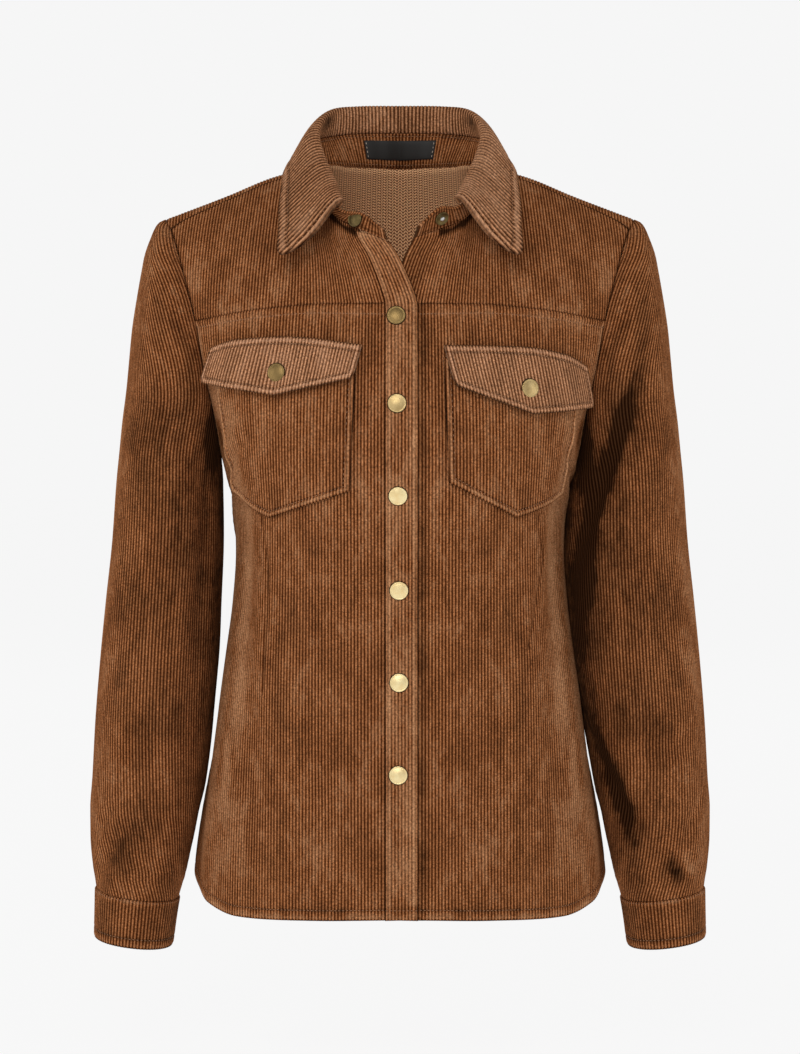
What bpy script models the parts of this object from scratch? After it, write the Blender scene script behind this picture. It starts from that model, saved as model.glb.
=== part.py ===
"""A women's corduroy shirt jacket, size S, in the shape that it has when it is worn.

Metres, +Z up. The front faces -Y and the wearer's right side is at -X. The origin is the middle of
the neck, level with the neck points of the shoulder seams, where the wearer carries the jacket.

Every panel is a sheet laid on one of three smooth forms (the body, the sleeve and the collar) and
given its wall inwards. A place on the body form is (across, up): across is the distance from the
centre front or centre back, measured round the body, and up runs from the chest line to the
shoulder ridge. The forms are drawn for the wearer's left half, at +X, and mirrored for the right.
"""

import math

import bmesh
import bpy
import numpy as np
from mathutils import Matrix, Vector


# ------------------------------------------------------------------ tables and curves
def table(columns, *rows):
    """The rows of a size table as one array for each named column."""
    return dict(zip(columns.split(), np.array(rows, float).T))


def smooth(at, xs, ys):
    """A smooth curve through a table's points that never overshoots them."""
    at, xs, ys = np.asarray(at, float), np.asarray(xs, float), np.asarray(ys, float)
    step = np.diff(xs)
    rise = np.diff(ys) / step
    slope = np.zeros(len(xs))
    slope[0], slope[-1] = rise[0], rise[-1]
    same = rise[1:] * rise[:-1] > 0
    slope[1:-1][same] = 2 * rise[1:][same] * rise[:-1][same] / (rise[1:] + rise[:-1])[same]
    at = np.clip(at, xs[0], xs[-1])
    i = np.clip(np.searchsorted(xs, at) - 1, 0, len(step) - 1)
    s = (at - xs[i]) / step[i]
    start = ys[i] * (1 + 2 * s) * (1 - s) ** 2 + slope[i] * step[i] * s * (1 - s) ** 2
    return start + ys[i + 1] * s * s * (3 - 2 * s) + slope[i + 1] * step[i] * s * s * (s - 1)


def ramp(x, start, end):
    """0 at start, 1 at end, with a soft change between them."""
    s = np.clip((np.asarray(x, float) - start) / (end - start), 0, 1)
    return s * s * (3 - 2 * s)


def unit(v):
    return v / np.maximum(np.linalg.norm(v, axis=-1, keepdims=True), 1e-12)


def walk(points, t):
    """Points at the shares t of the length of a line of points."""
    points = np.asarray(points, float)
    run = np.concatenate([[0], np.cumsum(np.linalg.norm(np.diff(points, axis=0), axis=1))])
    return np.stack([np.interp(np.asarray(t) * run[-1], run, axis) for axis in points.T], axis=-1)


# ------------------------------------------------------------------ cloth
CLOTH = 0.0018  # the corduroy wall
DOUBLE = 0.0022  # collar, cuffs, flaps and plackets are two layers, pressed
SEAM = 0.0004  # the gap that stands for a sewn seam
ON_TOP = 0.0004  # the gap under a patch, strip or cap that lies on a panel
SHORTEST = 0.002  # of the pieces of an outline
NORMAL_STEP = 0.004  # how far apart the points lie that give a form its direction

# ------------------------------------------------------------------ the body form
CHEST = -0.250  # height of the chest line, above which the rows lean over the shoulders
OVER = 0.300  # up, from the chest line to the shoulder ridge
LOWEST = -0.385  # up, of the lowest row
ROUNDNESS = 2.3  # of a level section: 2 is an ellipse, more is squarer
SHOULDER_CURVE = 1.8  # of the side profile from the chest line over the shoulder
SHOULDER_TIP = 0.192  # from the centre to the sleeve seam, at the top of the shoulder
SHOULDER_TIP_HEIGHT = -0.048
NECK_POINT = 0.074  # from the centre to the collar seam, on the shoulder ridge
SEAM_FORWARD = 0.010  # how far the shoulder seam lies in front of the ridge
UNDERARM = 0.0168  # up, of the lowest point of the armhole
ROWS, COLUMNS, FURTHEST = 260, 250, 0.250

BODY = table(
    "height half_width front_depth back_depth",
    (-0.640, 0.1755, 0.1220, 0.1240),
    (-0.583, 0.1713, 0.1210, 0.1220),
    (-0.541, 0.1660, 0.1180, 0.1180),
    (-0.500, 0.1592, 0.1150, 0.1140),
    (-0.450, 0.1493, 0.1120, 0.1080),
    (-0.400, 0.1411, 0.1090, 0.1010),
    (-0.364, 0.1369, 0.1090, 0.0970),
    (-0.326, 0.1351, 0.1120, 0.0960),
    (-0.288, 0.1370, 0.1190, 0.0990),
    (-0.250, 0.1455, 0.1250, 0.1050),
    (-0.200, 0.1600, 0.1240, 0.1100),
    (-0.150, 0.1790, 0.1180, 0.1120),
    (-0.100, 0.1950, 0.1090, 0.1100),
    (-0.045, 0.2040, 0.0980, 0.1050),
)
RIDGE = table(
    "across height",
    (-0.030, 0.0260),
    (0.000, 0.0440),
    (0.030, 0.0260),
    (0.062, 0.0000),
    (0.110, -0.0157),
    (0.140, -0.0282),
    (SHOULDER_TIP, SHOULDER_TIP_HEIGHT),
    (0.230, -0.0620),
)
ARMHOLE = table(
    "height from_centre",
    (-0.240, 0.1700),
    (-0.232, 0.1485),
    (-0.222, 0.1495),
    (-0.200, 0.1535),
    (-0.170, 0.1600),
    (-0.127, 0.1675),
    (-0.101, 0.1745),
    (-0.066, 0.1850),
    (SHOULDER_TIP_HEIGHT, SHOULDER_TIP),
)
# The front isn't fastened above the first snap, and its edges fall apart there.
OPENING = table(
    "height share",
    (-0.1150, 0.00),
    (-0.104, 0.14),
    (-0.078, 0.58),
    (-0.058, 1.00),
    (-0.042, 1.00),
    (-0.002, 0.00),
)
OPEN_BY = {"right": 0.0265, "left": 0.0205}  # how far each edge moves aside at the neck
OPEN_REACH = 0.120  # the cloth further across than this stays in place
OPEN_ROLL = {"right": 0.0055, "left": 0.0025}  # how far each parted edge rolls forward

# Soft folds of the body cloth, each a trough (negative) or a ridge in the form.
BODY_FOLDS = table(
    "place height depth width length lean",
    (0.150, -0.330, -0.0040, 0.016, 0.080, 0.10),
    (0.115, -0.400, 0.0025, 0.018, 0.090, 0.05),
    (0.178, -0.420, 0.0035, 0.020, 0.090, -0.05),
    (0.060, -0.540, -0.0025, 0.020, 0.070, 0.35),
    (0.205, -0.520, -0.0030, 0.020, 0.080, 0.05),
)


def folds_at(folds, across, height, around=False):
    """How far the cloth stands out of its form, from a table of soft troughs and ridges."""
    out = np.zeros(np.broadcast(across, height).shape)
    for k in range(len(folds["depth"])):
        down = height - folds["height"][k]
        side = across - folds["place"][k] - folds["lean"][k] * down
        if around:
            side = (side + math.pi) % (2 * math.pi) - math.pi
        reach = (side / folds["width"][k]) ** 2 + (down / folds["length"][k]) ** 2
        out = out + folds["depth"][k] * np.exp(-reach)
    return out


class BodyForm:
    """The front or the back of the body, looked up by (across, up)."""

    def __init__(self, back):
        self.facing = -1 if back else 1
        self.ups = np.linspace(LOWEST, OVER, ROWS)
        self.points = np.empty((ROWS, COLUMNS, 3))
        self.side = np.empty(ROWS)
        self.armhole = np.empty(ROWS)
        across = np.linspace(0, FURTHEST, COLUMNS)
        for i, up in enumerate(self.ups):
            row = self.row(up)
            run = np.concatenate([[0], np.cumsum(np.linalg.norm(np.diff(row, axis=0), axis=1))])
            self.side[i] = run[-1]
            past = np.maximum(across - run[-1], 0)
            for axis in range(3):
                self.points[i, :, axis] = np.interp(across, run, row[:, axis])
            self.points[i, :, 1] += past * self.facing
            cut = row[:, 0] - smooth(row[:, 2], ARMHOLE["height"], ARMHOLE["from_centre"])
            beyond = np.argmax(cut > 0) if (cut > 0).any() else 0
            self.armhole[i] = run[-1]
            if beyond:
                share = cut[beyond] / (cut[beyond] - cut[beyond - 1])
                self.armhole[i] = run[beyond] - share * (run[beyond] - run[beyond - 1])

    def row(self, up):
        """Points of one row, from the centre to the side."""
        turn = np.linspace(0, math.pi / 2, 200)
        lift = math.sin(math.pi / 2 * min(max(up / OVER, 0), 1))
        level = CHEST + up if up < 0 else CHEST + (SHOULDER_TIP_HEIGHT - CHEST) * lift
        wide = smooth(level, BODY["height"], BODY["half_width"])
        deep = smooth(level, BODY["height"], BODY["front_depth" if self.facing > 0 else "back_depth"])
        deep = deep * (1 - lift**SHOULDER_CURVE) ** (1 / SHOULDER_CURVE)
        x = wide * np.sin(turn) ** (2 / ROUNDNESS)
        y = -self.facing * deep * np.cos(turn) ** (2 / ROUNDNESS)
        top = smooth(x, RIDGE["across"], RIDGE["height"])
        z = np.full_like(x, level) if up < 0 else CHEST + (top - CHEST) * lift
        return np.stack([x, y, z], axis=1)

    def at(self, across, up):
        u = (np.clip(up, LOWEST, OVER) - LOWEST) / (OVER - LOWEST) * (ROWS - 1)
        a = np.clip(np.abs(across), 0, FURTHEST) / FURTHEST * (COLUMNS - 1)
        i = np.minimum(u.astype(int), ROWS - 2)
        j = np.minimum(a.astype(int), COLUMNS - 2)
        s, q = (u - i)[..., None], (a - j)[..., None]
        p = self.points
        low = (1 - q) * p[i, j] + q * p[i, j + 1]
        high = (1 - q) * p[i + 1, j] + q * p[i + 1, j + 1]
        found = (1 - s) * low + s * high
        return found * np.where(across < 0, -1, 1)[..., None] ** np.array([1, 0, 0])

    def side_at(self, up):
        return np.interp(up, self.ups, self.side)

    def armhole_at(self, up):
        return np.interp(up, self.ups, self.armhole)

    def find_up(self, across, value, axis=2):
        """The up at which the column at this distance across reaches a height (or, above, a y)."""
        across, value = np.broadcast_arrays(np.asarray(across, float), np.asarray(value, float))
        column = np.clip(np.abs(across) / FURTHEST * (COLUMNS - 1), 0, COLUMNS - 1).round().astype(int)
        rows = self.ups > (LOWEST - 1 if axis == 2 else OVER / 2)
        pairs = zip(column.ravel(), value.ravel())
        ups = [np.interp(v, self.points[rows, c, axis], self.ups[rows]) for c, v in pairs]
        return np.array(ups).reshape(across.shape)


FRONT, BACK = BodyForm(back=False), BodyForm(back=True)


def body_at(form, across, up, lift, side="left"):
    """Points of the body cloth, moved out by lift. Above the ridge a back comes down in front."""
    across, up = np.broadcast_arrays(np.asarray(across, float), np.asarray(up, float))

    def place(a, u):
        if form is BACK:
            over = np.maximum(u - OVER, 0)
            here = np.where((over > 0)[..., None], FRONT.at(a, OVER - over), BACK.at(a, u))
            return here
        here = FRONT.at(a, u)
        share = smooth(here[..., 2], OPENING["height"], OPENING["share"])
        near = 1 - ramp(a, -0.02, OPEN_REACH)
        here[..., 0] += OPEN_BY[side] * share * near
        here[..., 1] -= OPEN_ROLL[side] * share * near**2
        return here

    here = place(across, up)
    along = place(across + NORMAL_STEP, up) - place(across - NORMAL_STEP, up)
    upward = place(across, up + NORMAL_STEP) - place(across, up - NORMAL_STEP)
    normal = unit(np.cross(along, upward)) * form.facing
    out = np.asarray(lift) + folds_at(BODY_FOLDS, np.abs(across), here[..., 2])
    return here + normal * np.broadcast_to(out, across.shape)[..., None]


# ------------------------------------------------------------------ making a sheet
def material(name, colour, roughness=0.9, metallic=0.0):
    made = bpy.data.materials.new(name)
    made.use_nodes = True
    shader = made.node_tree.nodes["Principled BSDF"]
    shader.inputs["Base Color"].default_value = (*colour, 1)
    shader.inputs["Roughness"].default_value = roughness
    shader.inputs["Metallic"].default_value = metallic
    made.diffuse_color = (*colour, 1)
    return made


CORDUROY = (0.195, 0.068, 0.025)
CORDUROY_LIGHT = (0.27, 0.115, 0.055)
BRASS = (0.78, 0.58, 0.26)
DARK_BRASS = (0.22, 0.17, 0.07)
LABEL = (0.03, 0.028, 0.025)


def add(name, bm, colour, mirrored=False, roughness=0.9, metallic=0.0):
    """Close a bmesh as a named object, turned to face outwards."""
    if mirrored:
        bmesh.ops.scale(bm, vec=(-1, 1, 1), verts=bm.verts)
    bmesh.ops.recalc_face_normals(bm, faces=bm.faces)
    if bm.calc_volume(signed=True) < 0:
        bmesh.ops.reverse_faces(bm, faces=bm.faces)
    mesh = bpy.data.meshes.new(name)
    bm.to_mesh(mesh)
    bm.free()
    mesh.shade_smooth()
    mesh.set_sharp_from_angle(angle=math.radians(50))
    mesh.materials.append(material(name, colour, roughness, metallic))
    made = bpy.data.objects.new(name, mesh)
    bpy.context.scene.collection.objects.link(made)
    return made


def sheet(name, columns, rows, place, wall, colour=CORDUROY, mirrored=False, closed_from=None):
    """A wall of cloth: a grid in (u, v) extruded once, then placed by place(u, v, inward).

    With closed_from, its two sides meet in a tube from that v on."""
    bm = bmesh.new()
    bmesh.ops.create_grid(bm, x_segments=columns, y_segments=rows, size=0.5)
    grown = bmesh.ops.extrude_face_region(bm, geom=bm.faces[:], use_keep_orig=True)
    inner = [v for v in grown["geom"] if isinstance(v, bmesh.types.BMVert)]
    bmesh.ops.translate(bm, vec=(0, 0, -1), verts=inner)
    if closed_from is not None:
        meeting = {v for v in bm.verts if abs(v.co.x) > 0.4999 and v.co.y > closed_from - 0.5001}
        ends = [f for f in bm.faces if meeting.issuperset(f.verts)]
        bmesh.ops.delete(bm, geom=ends, context="FACES_ONLY")
    flat = np.array([v.co for v in bm.verts])
    placed = place(flat[:, 0] + 0.5, flat[:, 1] + 0.5, np.where(flat[:, 2] < -0.5, wall, 0.0))
    for vert, co in zip(bm.verts, placed):
        vert.co = co
    if closed_from is not None:
        bmesh.ops.remove_doubles(bm, verts=bm.verts, dist=1e-5)
    return add(name, bm, colour, mirrored)


def patch(left, right, bottom, top):
    """A place in (across, up) for (u, v), blended between four boundary lines."""

    def at(u, v):
        l0, l1, r0, r1 = left(0.0), left(1.0), right(0.0), right(1.0)
        u_, v_ = u[:, None], v[:, None]
        sides = (1 - u_) * left(v) + u_ * right(v)
        ends = (1 - v_) * bottom(u) + v_ * top(u)
        corners = (1 - v_) * ((1 - u_) * l0 + u_ * r0) + v_ * ((1 - u_) * l1 + u_ * r1)
        return sides + ends - corners

    return at


def line(*points):
    return lambda t: walk(points, t)


# ------------------------------------------------------------------ outlines on the body
HEM = table(
    "across height",
    (0.000, -0.6085),
    (0.080, -0.6110),
    (0.140, -0.6129),
    (0.177, -0.6068),
    (0.200, -0.5988),
    (0.2375, -0.5908),
)
HEM_SIDE = 0.237  # across, of the side seam at the hem
YOKE_SEAM = table(
    "across height",
    (0.000, -0.1150),
    (0.070, -0.1160),
    (0.125, -0.1210),
    (0.180, -0.1300),
)
NECK_FRONT = {
    "right": table(
        "across height",
        (-0.0145, -0.0650),
        (0.0080, -0.0570),
        (0.0280, -0.0500),
        (0.0460, -0.0410),
        (0.0620, -0.0280),
        (0.0750, -0.0140),
    ),
    "left": table(
        "across height",
        (-0.0145, -0.0650),
        (0.0080, -0.0570),
        (0.0280, -0.0525),
        (0.0460, -0.0465),
        (0.0620, -0.0345),
        (0.0750, -0.0140),
    ),
}
NECK_BACK = [(0.000, -0.0050), (0.033, -0.0040), (0.058, -0.0035)]
NECK_POINT_HEIGHT = -0.0045
PLACKET = 0.027
OVERLAP_EDGE = -0.0145  # across, of the front edge of the wearer's right, which lies on top
UNDER_EDGE = -0.0085  # across, of the front edge of the wearer's left
FRONT_EDGE = {"right": OVERLAP_EDGE, "left": UNDER_EDGE}


def hem_up(across):
    return smooth(np.abs(across), HEM["across"], HEM["height"]) - CHEST


def yoke_up(across):
    across = np.abs(across)
    return FRONT.find_up(across, smooth(across, YOKE_SEAM["across"], YOKE_SEAM["height"]))


def shoulder_up(across, forward):
    """The up, on the front form, of a line this far in front of the shoulder ridge."""
    return FRONT.find_up(across, -forward, axis=1)


def on_front(pairs):
    return [(a, float(FRONT.find_up(a, z))) for a, z in pairs]


def neck_front(side):
    """The neck seam of one front as rows of across and up."""
    line = NECK_FRONT[side]
    return np.array(on_front(zip(line["across"], line["height"]))).T


def neck_point_across():
    ridge = FRONT.points[-1]
    column = int(np.argmax(ridge[:, 0] > NECK_POINT))
    return column / (COLUMNS - 1) * FURTHEST


NECK_ACROSS = neck_point_across()
TIP_ACROSS = float(FRONT.armhole_at(OVER))
YOKE_ARM_ACROSS = 0.1835  # where the yoke seam meets the armhole
YOKE_ARM_UP = float(yoke_up(YOKE_ARM_ACROSS))


def on_panel(form, at, u, v):
    """The places of a patch, kept on their own side of the side seam."""
    across, up = at(u, v).T
    limit = form.side_at(up) - SEAM / 2
    return np.clip(across, -limit, limit), up


def armhole_line(form, low, high, inset, count=14):
    ups = np.linspace(low, high, count)
    return [(float(form.armhole_at(u)) - inset, float(u)) for u in ups]


def front_panel(side, mirrored):
    inner = FRONT_EDGE[side] + PLACKET + SEAM
    half = SEAM / 2
    across = np.linspace(inner, FRONT.armhole_at(YOKE_ARM_UP) - half, 9)
    seam = [(a, float(yoke_up(a)) - half) for a in across]
    arm = armhole_line(FRONT, YOKE_ARM_UP - half, UNDERARM, half, 8)
    low = float(hem_up(HEM_SIDE))
    sides = [(float(FRONT.side_at(u)) - half, u) for u in np.linspace(low, UNDERARM, 24)]
    hem = [(a, float(hem_up(a))) for a in np.linspace(inner, sides[0][0], 16)]
    at = patch(line(hem[0], seam[0]), line(*sides), line(*hem), line(*seam, *arm[1:-1], sides[-1]))

    def place(u, v, inward):
        return body_at(FRONT, *on_panel(FRONT, at, u, v), -inward, side)

    sheet(f"front_{side}", 12, 18, place, CLOTH, mirrored=mirrored)


def front_yoke(side, mirrored):
    inner = FRONT_EDGE[side] + PLACKET + SEAM
    half = SEAM / 2
    across = np.linspace(inner, FRONT.armhole_at(YOKE_ARM_UP) - half, 9)
    seam = [(a, float(yoke_up(a)) + half) for a in across]
    tip_up = float(shoulder_up(TIP_ACROSS, SEAM_FORWARD + half))
    arm = armhole_line(FRONT, YOKE_ARM_UP + half, tip_up, half, 8)
    top_across = np.linspace(NECK_ACROSS, TIP_ACROSS - half, 8)
    shoulder = [(a, float(shoulder_up(a, SEAM_FORWARD + half))) for a in top_across]
    neck = [(a, u) for a, u in neck_front(side).T if a > inner + SHORTEST]
    start = float(np.interp(inner, *neck_front(side)))
    rise = line(seam[0], (inner, start), *neck, shoulder[0])
    at = patch(rise, line(seam[-1], *arm[1:-1], shoulder[-1]), line(*seam), line(*shoulder))

    def place(u, v, inward):
        return body_at(FRONT, *on_panel(FRONT, at, u, v), -inward, side)

    sheet(f"front_yoke_{side}", 10, 9, place, CLOTH, mirrored=mirrored)


def back_panel():
    half = SEAM / 2
    low = float(hem_up(HEM_SIDE))
    sides = [(float(BACK.side_at(u)) - half, u) for u in np.linspace(low, UNDERARM, 20)]
    arm = armhole_line(BACK, UNDERARM, OVER, half, 16)[1:]
    past = OVER + (OVER - float(shoulder_up(TIP_ACROSS, SEAM_FORWARD - half)))
    edge = sides + arm + [(TIP_ACROSS - half, past)]
    hem = [(a, float(hem_up(a))) for a in np.linspace(-sides[0][0], sides[0][0], 31)]
    top_across = np.linspace(TIP_ACROSS - half, NECK_ACROSS, 9)
    top = [(a, 2 * OVER - float(shoulder_up(a, SEAM_FORWARD - half))) for a in top_across]
    neck = [(a, float(BACK.find_up(a, z))) for a, z in reversed(NECK_BACK)]
    half_top = top + [(NECK_ACROSS, OVER)] + neck
    whole_top = [(-a, u) for a, u in half_top[:-1]] + half_top[::-1]
    at = patch(line(*[(-a, u) for a, u in edge]), line(*edge), line(*hem), line(*whole_top))

    def place(u, v, inward):
        return body_at(BACK, *on_panel(BACK, at, u, v), -inward)

    sheet("back", 26, 20, place, CLOTH)


# ------------------------------------------------------------------ strips and patches on the front
OVER_LIFT, UNDER_LIFT = 0.0020, -0.0010  # of the outer faces of the two plackets
PLACKET_WALL = 0.0020
PLACKET_TOP_GAP = {"right": 0.0024, "left": SEAM}  # below the collar stand
PLACKET_ROWS_BELOW, PLACKET_ROWS_ABOVE = 24, 9  # rows of faces, below and above the yoke seam


def placket(side, mirrored, lift):
    edge = FRONT_EDGE[side]
    neck = neck_front(side)
    rows = PLACKET_ROWS_BELOW + PLACKET_ROWS_ABOVE

    def place(u, v, inward):
        across = edge + u * (PLACKET - SEAM)
        low, seam = hem_up(across), yoke_up(across)
        top = np.interp(across, *neck) - PLACKET_TOP_GAP[side]
        row = v * rows
        below = low + (seam - low) * row / PLACKET_ROWS_BELOW
        above = seam + (top - seam) * (row - PLACKET_ROWS_BELOW) / PLACKET_ROWS_ABOVE
        up = np.where(row <= PLACKET_ROWS_BELOW, below, above)
        return body_at(FRONT, across, up, lift - inward, side)

    sheet(f"placket_{side}", 3, rows, place, PLACKET_WALL, mirrored=mirrored)


PATCH_GAP = 0.0010  # under a pocket, whose flat faces span the panel's curve
POCKET_LIFT = PATCH_GAP + CLOTH
POCKET_TOP = -0.158
POCKET = {
    "right": table("across height", (0.0400, -0.2630), (0.1100, -0.2870), (0.1690, -0.2690)),
    "left": table("across height", (0.0385, -0.2560), (0.0960, -0.2860), (0.1590, -0.2710)),
}
POCKET_MOUTH = (0.0350, 0.1620)  # across, of the pocket's top corners
FLAP_WALL = DOUBLE
FLAP = {
    "right": table(
        "across top hang bottom",
        (0.0330, -0.1490, 0.0405, -0.1755),
        (0.1000, -0.1435, 0.1045, -0.1890),
        (0.1650, -0.1525, 0.1730, -0.1820),
    ),
    "left": table(
        "across top hang bottom",
        (0.0350, -0.1495, 0.0425, -0.1810),
        (0.1000, -0.1510, 0.1055, -0.2035),
        (0.1620, -0.1665, 0.1740, -0.1985),
    ),
}
FLAP_STANDS_OFF = 0.0055  # how far the lower edge of a flap stands off the pocket


def pocket(side, mirrored):
    low = POCKET[side]
    bottom = on_front(zip(low["across"], low["height"]))
    mouth = on_front((a, POCKET_TOP) for a in POCKET_MOUTH)
    at = patch(line(bottom[0], mouth[0]), line(bottom[2], mouth[1]), line(*bottom), line(*mouth))

    def place(u, v, inward):
        across, up = at(u, v).T
        return body_at(FRONT, across, up, POCKET_LIFT - inward, side)

    sheet(f"pocket_{side}", 8, 6, place, CLOTH, mirrored=mirrored)


def flap_place(side):
    shape = FLAP[side]

    def place(u, v, inward):
        share = np.interp(u, [0, 0.5, 1], [0, 1, 2])
        top = smooth(share, [0, 1, 2], shape["top"])
        bottom = np.interp(share, [0, 1, 2], shape["bottom"])
        across = (1 - v) * np.interp(share, [0, 1, 2], shape["hang"]) + v * np.interp(
            share, [0, 1, 2], shape["across"]
        )
        up = FRONT.find_up(across, (1 - v) * bottom + v * top)
        off = POCKET_LIFT + ON_TOP + FLAP_WALL + FLAP_STANDS_OFF * (1 - v) ** 1.3
        return body_at(FRONT, across, up, off - inward, side)

    return place


def flap(side, mirrored):
    sheet(f"pocket_flap_{side}", 8, 4, flap_place(side), FLAP_WALL, CORDUROY_LIGHT, mirrored)


# ------------------------------------------------------------------ the sleeve form
SLEEVE = table(
    "height outer half_width half_depth centre_y",
    (-0.0480, 0.1925, 0.0010, 0.0008, 0.000),
    (-0.0513, 0.1990, 0.0085, 0.0100, 0.000),
    (-0.0646, 0.2056, 0.0208, 0.0280, 0.000),
    (-0.0780, 0.2103, 0.0296, 0.0390, 0.000),
    (-0.0888, 0.2125, 0.0350, 0.0450, 0.001),
    (-0.1137, 0.2170, 0.0408, 0.0540, 0.001),
    (-0.1387, 0.2210, 0.0428, 0.0600, 0.002),
    (-0.1636, 0.2235, 0.0432, 0.0630, 0.002),
    (-0.1886, 0.2260, 0.0431, 0.0640, 0.002),
    (-0.2136, 0.2294, 0.0424, 0.0640, 0.002),
    (-0.2385, 0.2320, 0.0414, 0.0640, 0.002),
    (-0.2635, 0.2346, 0.0434, 0.0630, 0.001),
    (-0.3134, 0.2384, 0.0456, 0.0610, -0.001),
    (-0.3633, 0.2440, 0.0474, 0.0585, -0.003),
    (-0.4133, 0.2490, 0.0487, 0.0570, -0.006),
    (-0.4632, 0.2530, 0.0484, 0.0550, -0.010),
    (-0.5131, 0.2557, 0.0466, 0.0510, -0.013),
    (-0.5381, 0.2574, 0.0443, 0.0480, -0.015),
    (-0.5630, 0.2573, 0.0416, 0.0450, -0.016),
    (-0.5880, 0.2554, 0.0378, 0.0410, -0.017),
    (-0.6060, 0.2529, 0.0339, 0.0385, -0.018),
    (-0.6500, 0.2538, 0.0310, 0.0365, -0.020),
)
SLEEVE_ROUNDNESS = 2.15
# How much wider each sleeve hangs towards the body, half of it on either side of its middle.
FULLER = {
    "right": table("height half_width", (-0.700, 0.0), (0.0, 0.0)),
    "left": table(
        "height half_width",
        (-0.700, 0.0000),
        (-0.540, 0.0000),
        (-0.450, 0.0016),
        (-0.380, 0.0034),
        (-0.300, 0.0042),
        (-0.230, 0.0020),
        (-0.170, 0.0000),
        (0.000, 0.0000),
    ),
}
CUFF_TILT = 0.13  # of the sleeve's end, square to the forearm
CUFF_TOP, CUFF_BOTTOM = -0.6060, -0.6460
BODY_DEPTH = 0.120  # of half the body beside the sleeve
BODY_CLEAR = 0.0008  # kept between the body and the inside of the sleeve
ARMHOLE_GAP = 0.0010  # kept at the armhole, where the two walls turn towards each other
SKIVE = 0.65  # how much of its wall the sleeve loses at the armhole seam
SKIVE_FROM = 0.7  # share of the way round to the seam where that starts
SKIVED_TIP = (-0.060, -0.051)  # heights between which it also starts below the shoulder tip
SEAM_PULL = 3  # how late a row of the sleeve bends towards the armhole seam
SHARE_STEP, HEIGHT_STEP = 0.01, 0.003  # between the points that give the sleeve its direction

# Folds on the sleeves: place is the angle from the outer line, towards the front.
SLEEVE_FOLDS = {
    "right": table(
        "place height depth width length lean",
        (2.35, -0.330, -0.0045, 0.25, 0.120, 0.5),
        (1.05, -0.565, -0.0050, 0.30, 0.026, 14.0),
        (1.75, -0.205, -0.0030, 0.22, 0.045, -6.0),
        (-1.60, -0.415, -0.0045, 0.60, 0.014, 0.0),
        (-1.30, -0.455, -0.0040, 0.55, 0.012, 0.0),
        (0.70, -0.330, 0.0020, 0.30, 0.090, 0.0),
    ),
    "left": table(
        "place height depth width length lean",
        (2.04, -0.266, -0.0085, 0.22, 0.075, -8.5),
        (1.45, -0.300, 0.0025, 0.25, 0.090, -5.0),
        (2.30, -0.515, -0.0060, 0.22, 0.035, 10.0),
        (1.05, -0.476, -0.0020, 0.25, 0.012, 6.0),
        (-1.60, -0.400, -0.0045, 0.60, 0.014, 0.0),
        (-1.30, -0.445, -0.0045, 0.55, 0.013, 0.0),
    ),
}


def armhole_points(form):
    """The armhole seam as rows of (height, x, y), from the underarm to the shoulder tip."""
    ups = np.linspace(UNDERARM, OVER, 80)
    seam = body_at(form, form.armhole_at(ups), ups, 0.0)
    return seam[:, 2], seam[:, 0], seam[:, 1]


ARM_FRONT, ARM_BACK = armhole_points(FRONT), armhole_points(BACK)
CAP_LOW = float(ARM_FRONT[0][0])  # the height where the sleeve closes under the arm


def sleeve_ring(side, height, around):
    """The sleeve's outer face without its folds; around runs over -pi to pi, front positive."""
    outer, wide, deep, middle = (
        smooth(height, SLEEVE["height"][::-1], SLEEVE[c][::-1])
        for c in ("outer", "half_width", "half_depth", "centre_y")
    )
    wide = wide + smooth(height, FULLER[side]["height"], FULLER[side]["half_width"])
    power = 2 / SLEEVE_ROUNDNESS
    x = outer - wide + wide * np.sign(np.cos(around)) * np.abs(np.cos(around)) ** power
    y = middle - deep * np.sign(np.sin(around)) * np.abs(np.sin(around)) ** power
    return x, y, outer, wide


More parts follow.
